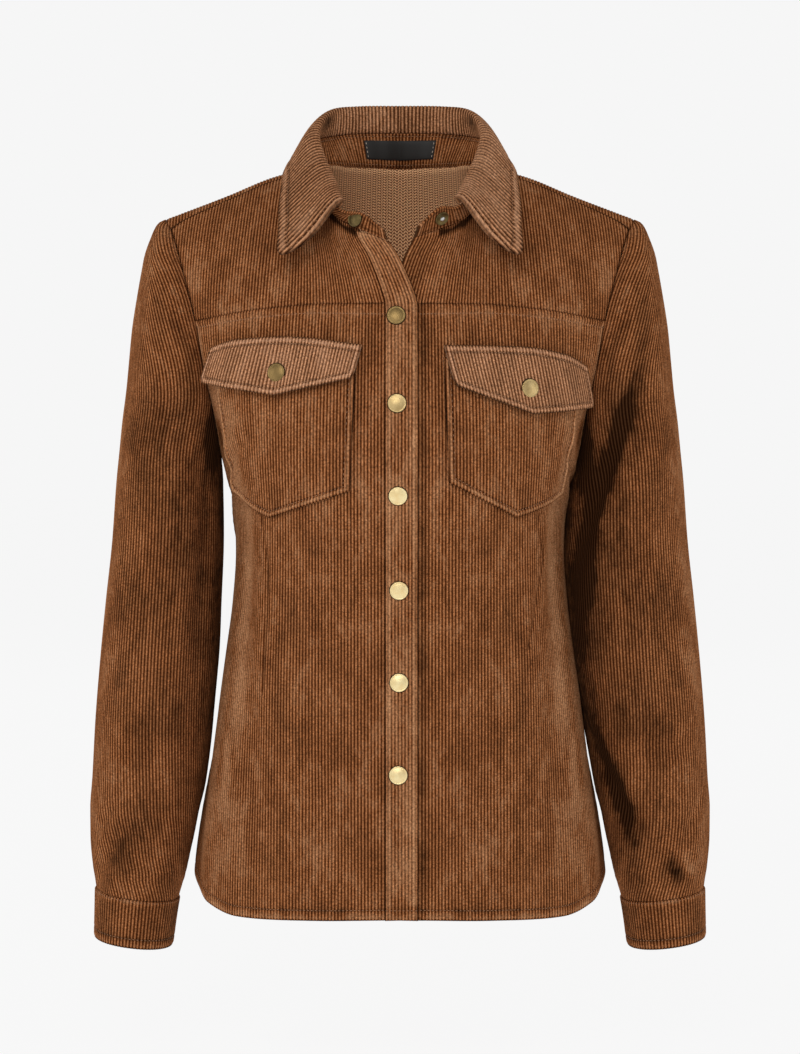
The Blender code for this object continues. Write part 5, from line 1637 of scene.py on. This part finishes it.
# %% [markdown]
# ## The collar
#
# A shirt collar is two pieces: a stand that rises from the neck seam, and a fall that rolls over it and
# ends in two points. The form is a row of stations from the centre back to the front. The wales cross
# the collar, so they stand upright at the back and fan out over the points.

# %% Stations of the collar
# Each row is one station of the wearer's left half, from the centre back to the front end. The neck
# seam is on the body form; the stand rises from it, and the fall rolls over and comes down outside.
COLLAR = table(
    "stand_x stand_y stand_z roll_x roll_y roll_z edge_x edge_y edge_z",
    (0.0000, 0.0480, 0.0245, 0.0000, 0.0530, 0.0471, 0.0000, 0.0760, -0.0060),
    (0.0335, 0.0435, 0.0240, 0.0345, 0.0495, 0.0466, 0.0480, 0.0700, -0.0070),
    (0.0575, 0.0290, 0.0210, 0.0580, 0.0340, 0.0425, 0.0785, 0.0460, -0.0090),
    (0.0690, 0.0020, 0.0150, 0.0690, 0.0050, 0.0260, 0.0945, 0.0030, -0.0060),
    (0.0650, -0.0250, -0.0050, 0.0635, -0.0220, 0.0045, 0.0968, -0.0420, -0.0240),
    (0.0570, -0.0550, -0.0230, 0.0545, -0.0530, -0.0150, 0.0975, -0.0740, -0.0500),
    (0.0470, -0.0810, -0.0410, 0.0465, -0.0830, -0.0350, 0.0910, -0.1010, -0.0805),
    (0.0300, -0.0880, -0.0460, 0.0300, -0.0880, -0.0460, 0.0300, -0.0880, -0.0460),
    (0.0120, -0.0910, -0.0580, 0.0120, -0.0910, -0.0580, 0.0120, -0.0910, -0.0580),
)
NECK_STATIONS = [(0.0, True), (0.033, True), (0.058, True), (NECK_ACROSS, True), (0.075, False)]
NECK_STATIONS += [(0.060, False), (0.044, False), (0.012, False), (OVERLAP_EDGE, False)]
# The front ends of the stand's upper edge differ: the wearer's left end stands up higher.
STAND_ENDS = {
    -1: [(0.0470, -0.0815, -0.0400), (0.0300, -0.0890, -0.0430), (0.0120, -0.0915, -0.0565)],
    1: [(0.0462, -0.0810, -0.0372), (0.0310, -0.0895, -0.0385), (0.0135, -0.0925, -0.0540)],
}
FALL_END = 6  # the station where the fall stops; the stand goes on to the front edge
COLLAR_STEP = 0.002  # between the points that give the collar its direction
COLLAR_WALL = 0.0024
STAND_CLEAR = 0.0004  # from the body panels' edge and from the fall, along the stand
LEAF_FRONT, LEAF_BULGE = 0.75, 0.0060  # the leaf's front edge swings out by this, from that share on
OVER_LIFT_ENDS = (0.014, 0.040)  # across, where the right end of the stand comes down to the panel
ROLL = 0.0055  # how far inside the roll line the cloth starts to turn
ROLL_OVER = 0.0098  # how far outside it the cloth swings before it falls
BELLY, BELLY_AT = 0.003, 0.45  # how far the leaf stands off a straight line, and where
INSIDE_SHARE = 1 / 2.4  # the share of the fall's grid that is inside the roll


def neck_seam(side):
    """The neck seam's stations on the body form."""
    points = []
    for across, back in NECK_STATIONS:
        if back:
            height = np.interp(across, *np.array(NECK_BACK + [(NECK_ACROSS, NECK_POINT_HEIGHT)]).T)
            points.append(body_at(BACK, across, BACK.find_up(across, height), 0.0))
        else:
            edge = max(across, FRONT_EDGE[side])
            lift = OVER_LIFT * (1 - ramp(edge, *OVER_LIFT_ENDS)) if side == "right" else 0.0
            points.append(body_at(FRONT, edge, np.interp(edge, *neck_front(side)), lift, side))
    return np.array(points).reshape(-1, 3)


def station(points, at):
    """A smooth line through the collar's stations."""
    tangent = np.gradient(points, axis=0)
    i = np.clip(np.floor(at).astype(int), 0, len(points) - 2)
    return cubic(points[i], points[i + 1], tangent[i], tangent[i + 1], (at - i)[..., None])


def points_of(name):
    """The stations of one line: stand, roll or edge."""
    return np.stack([COLLAR[f"{name}_{axis}"] for axis in "xyz"], axis=-1)


def collar_line(name, at, half):
    """Points of one line of the collar, half being 1 on the wearer's left and -1 on the right."""
    sides = []
    for end in (1, -1):
        moved = points_of(name)
        if name == "stand":
            moved[FALL_END:] = STAND_ENDS[end]
        elif name == "roll":
            moved[FALL_END] += np.array(STAND_ENDS[end][0]) - points_of("stand")[FALL_END]
        sides.append(station(moved, at))
    return np.where((half > 0)[..., None], *sides)


def collar_face(face):
    """place(u, v, inward) for one collar piece, with u from the right end to the left end."""

    def place(u, v, inward):
        def both(u, v):
            half = face(np.abs(2 * u - 1), v, np.where(u > 0.5, 1, -1))
            half[..., 0] *= np.where(u < 0.5, -1, 1)
            return half

        step = COLLAR_STEP
        along = both(np.clip(u + step, 0, 1), v) - both(np.clip(u - step, 0, 1), v)
        rise = both(u, np.clip(v + step, 0, 1)) - both(u, np.clip(v - step, 0, 1))
        return both(u, v) - unit(np.cross(along, rise)) * inward[..., None]

    return place


NECK_SEAMS = {1: neck_seam("left"), -1: neck_seam("right")}


def stand_face(share, v, half):
    """Up the stand, from the neck seam to the fall."""
    at = share * (len(NECK_STATIONS) - 1)
    low = np.where((half > 0)[..., None], station(NECK_SEAMS[1], at), station(NECK_SEAMS[-1], at))
    high = collar_line("stand", at, half)
    rise = unit(high - low)
    low, high = low + rise * STAND_CLEAR, high - rise * STAND_CLEAR
    return low + (high - low) * v[..., None]


def fall_face(share, v, half):
    """Up the inside, over the roll and down the outside to the edge of the leaf."""
    at = share * FALL_END
    low, roll, edge = (collar_line(name, at, half) for name in ("stand", "roll", "edge"))
    along = collar_line("roll", at + 0.02, half) - collar_line("roll", at - 0.02, half)
    leaf = edge - roll
    level = leaf * [1, 1, 0]
    out = unit(level - unit(along) * (level * unit(along)).sum(-1, keepdims=True))
    start = roll - out * ROLL
    v = v[..., None]
    rise = np.clip(v / INSIDE_SHARE, 0, 1)
    inside = (1 - rise) ** 2 * low + 2 * rise * (1 - rise) * start + rise**2 * roll
    fall = np.clip((v - INSIDE_SHARE) / (1 - INSIDE_SHARE), 0, 1)
    lean = roll + out * ROLL_OVER
    belly = roll + BELLY_AT * (edge - roll) + out * BELLY
    outside = (
        (1 - fall) ** 3 * roll
        + 3 * (1 - fall) ** 2 * fall * lean
        + 3 * (1 - fall) * fall**2 * belly
        + fall**3 * edge
    )
    front = ramp(share, LEAF_FRONT, 1)[..., None] * LEAF_BULGE * np.sin(math.pi * fall**1.5)
    return np.where(v < INSIDE_SHARE, inside, outside + unit(along) * front)


# %% The stand and the fall
FAN = 0.060, 0.120  # from the centre back, where the wales of the fall spread out towards the points
FALL_SPREAD = 1.35, 1.6  # how far apart its wales are, in wales, before the fan and after it
COLLAR_CORNER = 0.0150  # radius of the points of the fall
FALL_STITCH, STAND_STITCH, ROLL_STITCH = 0.0052, 0.0022, 0.004  # rows inside an edge, and above the roll
FAN_PILE = 0.3  # the points are rubbed lighter
# Inside the collar, painted shade where the stand's shadow reaches: how dark, where and how far.
NECK_SHADE, NECK_SHADE_AT, NECK_SHADE_REACH = -1.1, (0.088, 0.45), (0.015, 0.009)


def collar_lines(face, middle):
    """Metres along a collar piece for u, at the share middle of its depth, and its depth there."""
    at = collar_face(face)
    u = np.linspace(0, 1, 401)
    run = run_along(at(u, np.full(401, middle), np.zeros(401)))
    v = np.linspace(0, 1, 41)
    depth = [run_along(at(np.full(41, x), v, np.zeros(41)))[-1] for x in u[::8]]
    return u, run - run[-1] / 2, np.interp(u, u[::8], depth)


def collar_rows(spots, deep, fall):
    """The rows of stitches: round the leaf of the fall, or along both edges of the stand."""
    if not fall:
        along = spots[3:-3]
        return [[(a, deep(a) - STAND_STITCH) for a in along], [(a, STAND_STITCH) for a in along]]
    inner = [a for a in spots if spots[0] + FALL_STITCH <= a <= spots[-1] - FALL_STITCH]
    around = [(a, max(deep(a) - FALL_STITCH, 0.001)) for a in inner]
    roll = deep(inner[0]) * INSIDE_SHARE + ROLL_STITCH
    return [[(inner[0], roll), *around, (inner[-1], roll)]]


def collar_cloth(name, face, middle, rows, finishes, fall=False, spread_out=(1.0, 1.0)):
    """The stand or the fall; spread_out is how far apart the wales are, at the back and at the points."""
    at = collar_face(face)
    u, run, depth = collar_lines(face, middle)
    apart = spread_out[0] + (spread_out[1] - spread_out[0]) * ramp(np.abs(run), *FAN)
    counted = np.concatenate([[0], np.cumsum(np.diff(run) * 2 / (apart[1:] + apart[:-1]))])
    counted -= counted[-1] / 2

    def wales(a):
        return np.interp(a, run, counted)

    def deep(a):
        return np.interp(a, run, depth)

    def tall(a):
        return rounded(deep, a, run[0], run[-1], COLLAR_CORNER) if fall else deep(a)

    def place(a, y, lift):
        return at(np.interp(a, run, u), np.clip(y / deep(a), 0, 1), -np.asarray(lift))

    columns = np.interp(wale_columns(counted[0], counted[-1]), counted, run)
    grid = grid_of(rows, columns)
    up = rows[:, None] * tall(grid)
    spots = np.linspace(run[0], run[-1], 240)
    foot, edge = [(a, 0) for a in spots], [(a, float(tall(a))) for a in spots]
    ends = [[foot[0], edge[0]], [foot[-1], edge[-1]]]
    stitches = collar_rows(spots, deep, fall)
    lift = RIB_HEIGHT * rib(wales(grid)) + sewn_lift(grid, up, [foot, edge, *ends], stitches)
    pile_and_shading = pile_and_shade_at(None, grid, up, [edge, *ends] if fall else ends, stitches)
    if fall:
        aside = np.abs(grid) - NECK_SHADE_AT[0]
        above = up - INSIDE_SHARE * NECK_SHADE_AT[1] * deep(grid)
        shade = bell(aside, NECK_SHADE_REACH[0]) * bell(above, NECK_SHADE_REACH[1])
        pile_and_shading = pile_and_shading + FAN_PILE * ramp(grid, *FAN) + NECK_SHADE * shade
    cloth(
        name, grid, up, place, lift, COLLAR_WALL, finishes, pile_and_shading=pile_and_shading, wales=wales,
        sewn=stitches,
    )


fall_rows = shares(46, (0.93,), 0.09)
collar_cloth("collar_stand", stand_face, 0.5, shares(18), [BROWN, BROWN])
collar_cloth(
    "collar_fall", fall_face, 0.75, fall_rows, [COLLAR_FACE, BROWN],
    fall=True, spread_out=FALL_SPREAD,
)

# %% [markdown]
# ## The label
#
# A small satin tab is sewn inside the stand, under the centre of the collar. Its two short ends carry
# the only pale stitches of the jacket.

# %% The neck label
LABEL_HALF_U, LABEL_LOW, LABEL_HIGH = 0.058, 0.23, 0.80  # shares of the stand's length and depth
LABEL_FACE, LABEL_BACK = 0.0009, -0.0002  # its face out of the stand's crests, and its wall's inner side
LABEL_PUFF, LABEL_WAVE, LABEL_WAVES = 0.0005, 0.0002, 420  # how it stands off between its seams
LABEL_SEWN, LABEL_SEAM = (-0.0004, 0.002), 0.0008  # its sewn ends, and their stitches from its corners


def satin_finish():
    made, tree, shader, at = cloth_material("label_satin")
    weave = grain(tree, (-700, 0), at, (2600, 900))
    colour = blend(tree, (-400, 0), weave, (0.010, 0.009, 0.008), (0.024, 0.021, 0.019))
    settle(tree, shader, Base_Color=colour, Roughness=0.55, Specular_IOR_Level=0.3)
    return made


def label_cloth():
    at = collar_face(stand_face)
    u, run, depth = collar_lines(stand_face, 0.5)
    half = float(np.interp(0.5 + LABEL_HALF_U, u, run))
    tall = float(depth[len(u) // 2]) * (LABEL_HIGH - LABEL_LOW)
    grid = np.broadcast_to(np.linspace(-half, half, 60), (16, 60))
    up = np.linspace(0, tall, 16)[:, None] * np.ones_like(grid)

    def place(a, y, lift):
        v = LABEL_LOW + np.clip(y / tall, 0, 1) * (LABEL_HIGH - LABEL_LOW)
        return at(0.5 + a / half * LABEL_HALF_U, v, -np.asarray(lift) - RIB_HEIGHT)

    from_ends, _ = distance_to([[(x, 0), (x, tall)] for x in (-half, half)], grid, up)
    lift = LABEL_PUFF * (1 - (2 * up / tall - 1) ** 4) + LABEL_WAVE * np.sin(grid * LABEL_WAVES)
    lift = lift + LABEL_FACE + marked(from_ends, LABEL_SEWN)
    satin = satin_finish()
    rows = [[(x, LABEL_SEAM), (x, tall - LABEL_SEAM)] for x in (0.0016 - half, half - 0.0016)]
    cloth(
        "neck_label", grid, up, place, lift, LABEL_BACK, [satin, satin],
        sewn=rows, sewn_out=0.0010,
    )


label_cloth()

# %% [markdown]
# ## Snaps
#
# Each snap is a turned cap: a shallow dome with a rolled rim, spun from half of its section. The collar
# has a cap on one end, painted darker for the shade it turns into, and the open stud of its partner on
# the other. The brass is a little worn: its roughness and colour drift. Some caps get darker copies of
# the brass as painted shade and dimmer reflections, and a dark ring is painted under every cap's rim as
# its contact shadow on the cloth.

# %% Aged brass, and darker copies of it as painted shade
SNAPS = table(
    "across height",
    (0.0030, -0.1255),
    (0.0024, -0.1940),
    (0.0016, -0.2665),
    (0.0008, -0.3435),
    (0.0008, -0.4180),
    (0.0014, -0.4920),
)
SNAP_RADIUS, COLLAR_CAP_RADIUS, STUD_RADIUS = 0.0073, 0.0062, 0.0060
FLAP_SNAP_V, STAND_SNAP_U = 0.38, 0.068  # shares of the flap's depth and of the stand's length
STAND_SNAP_OUT, STAND_SNAP_LEAN = 0.0006, (0, 0, 0.45)
SNAP_STEPS = 56  # round the turned snaps


def brass(name, light, dark, roughness, metallic=1.0):
    made, tree, shader = material(name)
    at = node(tree, "ShaderNodeTexCoord", (-1100, 0)).outputs["Object"]
    cloudy = noise(tree, (-850, 100), at, 150.0, 4.0, 0.6)
    brushed = noise(tree, (-850, -150), at, 1400.0, 2.0, 0.6)
    share = maths(tree, "MULTIPLY_ADD", (-650, 100), cloudy, 1.7, -0.45, clamp=True)
    colour = blend(tree, (-300, 200), share, dark, light)
    rough = maths(tree, "MULTIPLY_ADD", (-500, -100), brushed, 0.22, roughness - 0.11)
    rough = maths(tree, "MULTIPLY_ADD", (-350, -100), cloudy, 0.10, rough)
    normal = bump(tree, brushed, 0.12, 0.0001)
    settle(tree, shader, Base_Color=colour, Roughness=rough, Metallic=metallic, Normal=normal)
    return made


BRASS = brass("brass_pale", (1.0, 0.88, 0.52), (0.86, 0.63, 0.29), 0.40, 0.75)
# painted shade and dimmer reflections: darker copies of the brass, for the caps that catch less light
HALF_SHADED_BRASS = brass("brass_half_shaded", (0.78, 0.59, 0.29), (0.42, 0.29, 0.12), 0.42)
SHADED_BRASS = brass("brass_shaded", (0.31, 0.205, 0.080), (0.22, 0.145, 0.055), 0.42)
# darker still: painted shade on the collar's cap, which turns away from the light; it is also the collar
# stud's ring
DARK_BRASS = brass("brass_dark", (0.22, 0.16, 0.06), (0.10, 0.07, 0.03), 0.38)
# painted contact shadow: the dark ring under each cap's rim, where it meets the cloth
CAP_CONTACT_SHADOW = brass("snap_contact_shadow", (0.030, 0.018, 0.009), (0.016, 0.009, 0.005), 0.60)
STEEL = brass("snap_steel", (0.75, 0.74, 0.72), (0.45, 0.44, 0.42), 0.25)


# %% The cap and the stud, spun from their sections
def dome(rim, height, foot):
    """Half a cap's section: a rolled rim, a fine groove inside it and a shallow dome."""
    turn = np.linspace(-math.pi / 2, math.pi * 0.78, 12)
    roll = [(rim + (1 - rim) * math.cos(t), foot + (1 - rim) * (1 + math.sin(t)) * 0.75) for t in turn]
    inner = roll[-1][0]
    arc = [(inner * s, roll[-1][1] - 0.012 + height * (1 - s * s)) for s in np.linspace(0.97, 0, 12)]
    return [(0, 0), (1.075, 0), (1.08, foot * 0.6), (1.0, foot)] + roll + arc


FOOT = 0.05  # of a cap: the foot that it stands on, a little wider than the cap, painted dark as its contact shadow
CAP = dome(0.93, 0.15, FOOT)
RING = [(0, 0), (0.95, 0), (1.0, 0.08), (0.98, 0.17), (0.90, 0.22), (0.80, 0.20)]
RING += [(0.68, 0.11), (0.44, 0.09), (0, 0.09)]
STUD = [(0.34, 0.09), (0.36, 0.26), (0.33, 0.34), (0.24, 0.39), (0.12, 0.41), (0, 0.415)]


def spun(name, node_name, radius, profile, centre, facing, finish, slot_name, foot=0.0):
    """A section in shares of the radius, spun round its axis; below its foot it is painted dark, as a contact
    shadow.
    """
    bm = bmesh.new()
    verts = [bm.verts.new((x * radius, 0, z * radius)) for x, z in profile]
    edges = [bm.edges.new(pair) for pair in zip(verts, verts[1:])]
    turned = {"axis": (0, 0, 1), "angle": 2 * math.pi, "steps": SNAP_STEPS, "use_merge": True}
    bmesh.ops.spin(bm, geom=verts + edges, **turned)
    bmesh.ops.remove_doubles(bm, verts=bm.verts, dist=1e-7)
    turn = Vector(facing).to_track_quat("Z", "Y").to_matrix().to_4x4()
    for face in bm.faces:
        face.smooth = True
        face.material_index = int(face.calc_center_median().z < foot * radius)
    bm.transform(Matrix.Translation(centre) @ turn)
    bmesh.ops.recalc_face_normals(bm, faces=bm.faces)
    mesh = mesh_from(bm, name)
    mesh.set_sharp_from_angle(angle=math.radians(40))
    mesh.materials.append(finish)
    # the painted contact shadow under the rim
    mesh.materials.append(CAP_CONTACT_SHADOW)
    made = put(name, mesh)
    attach(made, "root")
    if node_name:
        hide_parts(node_name)


def on_cloth(place, a, u, lift, mirrored, lean=(0, 0, 0)):
    """The place and the direction of a snap on a piece of cloth."""
    flip = np.array([-1, 1, 1]) if mirrored else np.array([1, 1, 1])
    spots = [place(np.array([a]), np.array([u]), np.array([lift + step]))[0] * flip for step in (0, 0.001)]
    return spots[0], unit(unit(spots[1] - spots[0]) + np.array(lean))


for number, (across, height) in enumerate(zip(SNAPS["across"], SNAPS["height"]), 1):
    up = float(FRONT.find_up(across, height))
    spot = on_cloth(front_place("right"), across, up, OVER_LIFT + RIB_HEIGHT, True)
    # painted shade: the top snap and the second get darker brass, for their dimmer reflections
    finish = {1: SHADED_BRASS, 2: HALF_SHADED_BRASS}.get(number, BRASS)
    spun(f"snap_{number}_cap", f"snap_{number}", SNAP_RADIUS, CAP, *spot, finish, "brass", FOOT)
for side, mirrored in SIDES:
    flap_place, base, wide, length = FLAP_PLACES[side]
    low = float(length(wide / 2)) * (FLAP_SNAP_V - 1)
    spot = on_cloth(flap_place, wide / 2, low, base + RIB_HEIGHT, mirrored)
    # painted shade: the flap snaps get darker brass, the wearer's right one the darkest
    finish = SHADED_BRASS if side == "right" else HALF_SHADED_BRASS
    spun(f"flap_snap_{side}_cap", f"flap_snap_{side}", SNAP_RADIUS, CAP, *spot, finish, "brass", FOOT)


def stand_place(u, v, out):
    return collar_face(stand_face)(u, v, COLLAR_WALL + np.asarray(out))


spot = on_cloth(stand_place, STAND_SNAP_U, 0.5, STAND_SNAP_OUT, False, STAND_SNAP_LEAN)
# painted shade: the darkest brass on this cap, which turns away from the light
spun("collar_snap_cap", "collar_snap", COLLAR_CAP_RADIUS, CAP, *spot, DARK_BRASS, "dark_brass", FOOT)
spot = on_cloth(stand_place, 1 - STAND_SNAP_U, 0.5, STAND_SNAP_OUT, False)
spun("collar_stud_ring", "collar_stud", STUD_RADIUS, RING, *spot, DARK_BRASS, "dark_brass")
spun("collar_stud_post", None, STUD_RADIUS, STUD, *spot, STEEL, "dark_brass")

# %% [markdown]
# ## Stitches
#
# Each stitch is one small flattened bead of thread, copied along the rows that the pieces kept,
# because a drawn line would not catch the light.

# %% Sew the rows
STITCH_LENGTH, STITCH_STEP, THREAD = 0.0021, 0.0032, 0.00033  # THREAD is half its thickness


def thread_finish(name, colour):
    made, tree, shader = material(name)
    at = node(tree, "ShaderNodeTexCoord", (-900, 0))
    twist = noise(tree, (-600, 0), at.outputs["Object"], 900.0, 2.0)
    shade = blend(tree, (-300, 0), twist, tuple(0.6 * c for c in colour), colour)
    settle(tree, shader, Base_Color=shade, Roughness=0.7)
    return made


THREAD_BROWN = thread_finish("thread_brown", (0.40, 0.19, 0.092))
THREAD_PALE = thread_finish("thread_pale", (0.66, 0.52, 0.40))


def bead():
    bm = bmesh.new()
    bmesh.ops.create_uvsphere(bm, u_segments=6, v_segments=4, radius=1)
    for face in bm.faces:
        face.smooth = True
    return mesh_from(bm, "bead")


BEAD = bead()
BEAD_POINTS = np.array([v.co for v in BEAD.vertices])


def sew(name, place, mirrored, rows):
    """One object with every stitch of a piece."""
    spots, aims = [], []
    for row in rows:
        row = np.asarray(row, float)
        run = run_along(row)
        count = max(int(run[-1] / STITCH_STEP), 1)
        where = (np.arange(count) + 0.5) / count * run[-1]
        for store, shift in ((spots, 0), (aims, 0.0008)):
            store.append(on_line(row, run, where + shift))
    spots, aims = np.concatenate(spots), np.concatenate(aims)
    sunk = np.full(len(spots), -VALLEY * 0.25 + RIB_HEIGHT * 0.5)
    here = place(spots[:, 0], spots[:, 1], sunk)
    ahead = unit(place(aims[:, 0], aims[:, 1], sunk) - here)
    out = unit(place(spots[:, 0], spots[:, 1], sunk + 0.001) - here)
    side = np.cross(out, ahead)
    bm = bmesh.new()
    for _ in range(len(spots)):
        bm.from_mesh(BEAD)
    x, y, z = BEAD_POINTS.T
    shape = (
        ahead[:, None] * (x * STITCH_LENGTH / 2)[None, :, None]
        + side[:, None] * (y * THREAD)[None, :, None]
        + out[:, None] * (z * THREAD)[None, :, None]
    )
    points = (here[:, None] + shape).reshape(-1, 3)
    if mirrored:
        points = points * [-1, 1, 1]
    for vert, point in zip(bm.verts, points.tolist()):
        vert.co = point
    bmesh.ops.recalc_face_normals(bm, faces=bm.faces)
    mesh = mesh_from(bm, f"{name}_stitches")
    mesh.materials.append(THREAD_PALE if name == "neck_label" else THREAD_BROWN)
    made = put(f"{name}_stitches", mesh)
    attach(made, "root")
    return len(spots)


print("stitches:", sum(sew(*rows) for rows in STITCHES))

# %% [markdown]
# ## Floor, light and camera
#
# The jacket is shot on plain paper with large soft lights, so the cloth shows its own shading and no
# hard shadow. A big panel lights it from the front and above, and a weaker one on each side grazes the
# ribs.

# %% Paper, light and camera
def paper():
    bm = bmesh.new()
    bmesh.ops.create_grid(bm, x_segments=1, y_segments=1, size=6)
    bmesh.ops.translate(bm, vec=(0, 0, -0.75), verts=bm.verts)
    mesh = mesh_from(bm, "paper")
    made, tree, shader = material("paper")
    settle(tree, shader, Base_Color=(0.05, 0.05, 0.05, 1), Roughness=1, Specular_IOR_Level=0)
    settle(tree, shader, Emission_Color=(0.904, 0.904, 0.904, 1), Emission_Strength=1.0)
    mesh.materials.append(made)
    put("paper", mesh)


def soft_light(name, at, aim, size, power):
    data = bpy.data.lights.new(name, "AREA")
    data.shape, data.size, data.size_y, data.energy = "RECTANGLE", size[0], size[1], power
    made = put(name, data)
    made.location = at
    made.rotation_euler = (Vector(aim) - Vector(at)).to_track_quat("-Z", "Y").to_euler()


paper()
AIM = (0, 0, -0.32)
soft_light("front_panel", (-0.35, -2.3, 1.1), AIM, (1.3, 1.1), 27)
soft_light("left_panel", (-2.2, -0.9, 0.2), AIM, (0.9, 1.8), 11)
soft_light("right_panel", (2.2, -0.9, 0.2), AIM, (0.9, 1.8), 9)
soft_light("back_panel", (0.0, 2.2, 0.9), AIM, (1.8, 1.4), 12)
world = bpy.data.worlds.new("studio")
world.use_nodes = True
sky = world.node_tree
seen = node(sky, "ShaderNodeBackground", (0, 200), Color=(0.922, 0.922, 0.922, 1), Strength=1.0)
fill = node(sky, "ShaderNodeBackground", (0, 0), Color=(1.0, 1.0, 1.0, 1), Strength=0.30)
rays = node(sky, "ShaderNodeLightPath", (0, 450))
choose = node(sky, "ShaderNodeMixShader", (250, 100))
for socket, given in zip(choose.inputs, (rays.outputs["Is Camera Ray"], fill.outputs[0], seen.outputs[0])):
    sky.links.new(given, socket)
sky.links.new(choose.outputs[0], sky.nodes["World Output"].inputs[0])
bpy.context.scene.world = world
bpy.context.scene.view_settings.view_transform = "Standard"

CAMERA_DISTANCE, CAMERA_TILT, AIM_HEIGHT = 2.6, math.radians(5), -0.3026
VIEW_HEIGHT, SENSOR = 0.877, 36  # of the picture at the jacket, in metres, and in the camera, in mm
lens = bpy.data.cameras.new("camera")
lens.sensor_width = SENSOR
lens.lens = CAMERA_DISTANCE / VIEW_HEIGHT * SENSOR
camera = put("camera", lens)
away, rise = CAMERA_DISTANCE * math.cos(CAMERA_TILT), CAMERA_DISTANCE * math.sin(CAMERA_TILT)
camera.location = (0, -away, AIM_HEIGHT + rise)
camera.rotation_euler = (math.pi / 2 - CAMERA_TILT, 0, 0)
bpy.context.scene.camera = camera
print("camera at", [round(x, 3) for x in camera.location], "lens", round(lens.lens, 1))
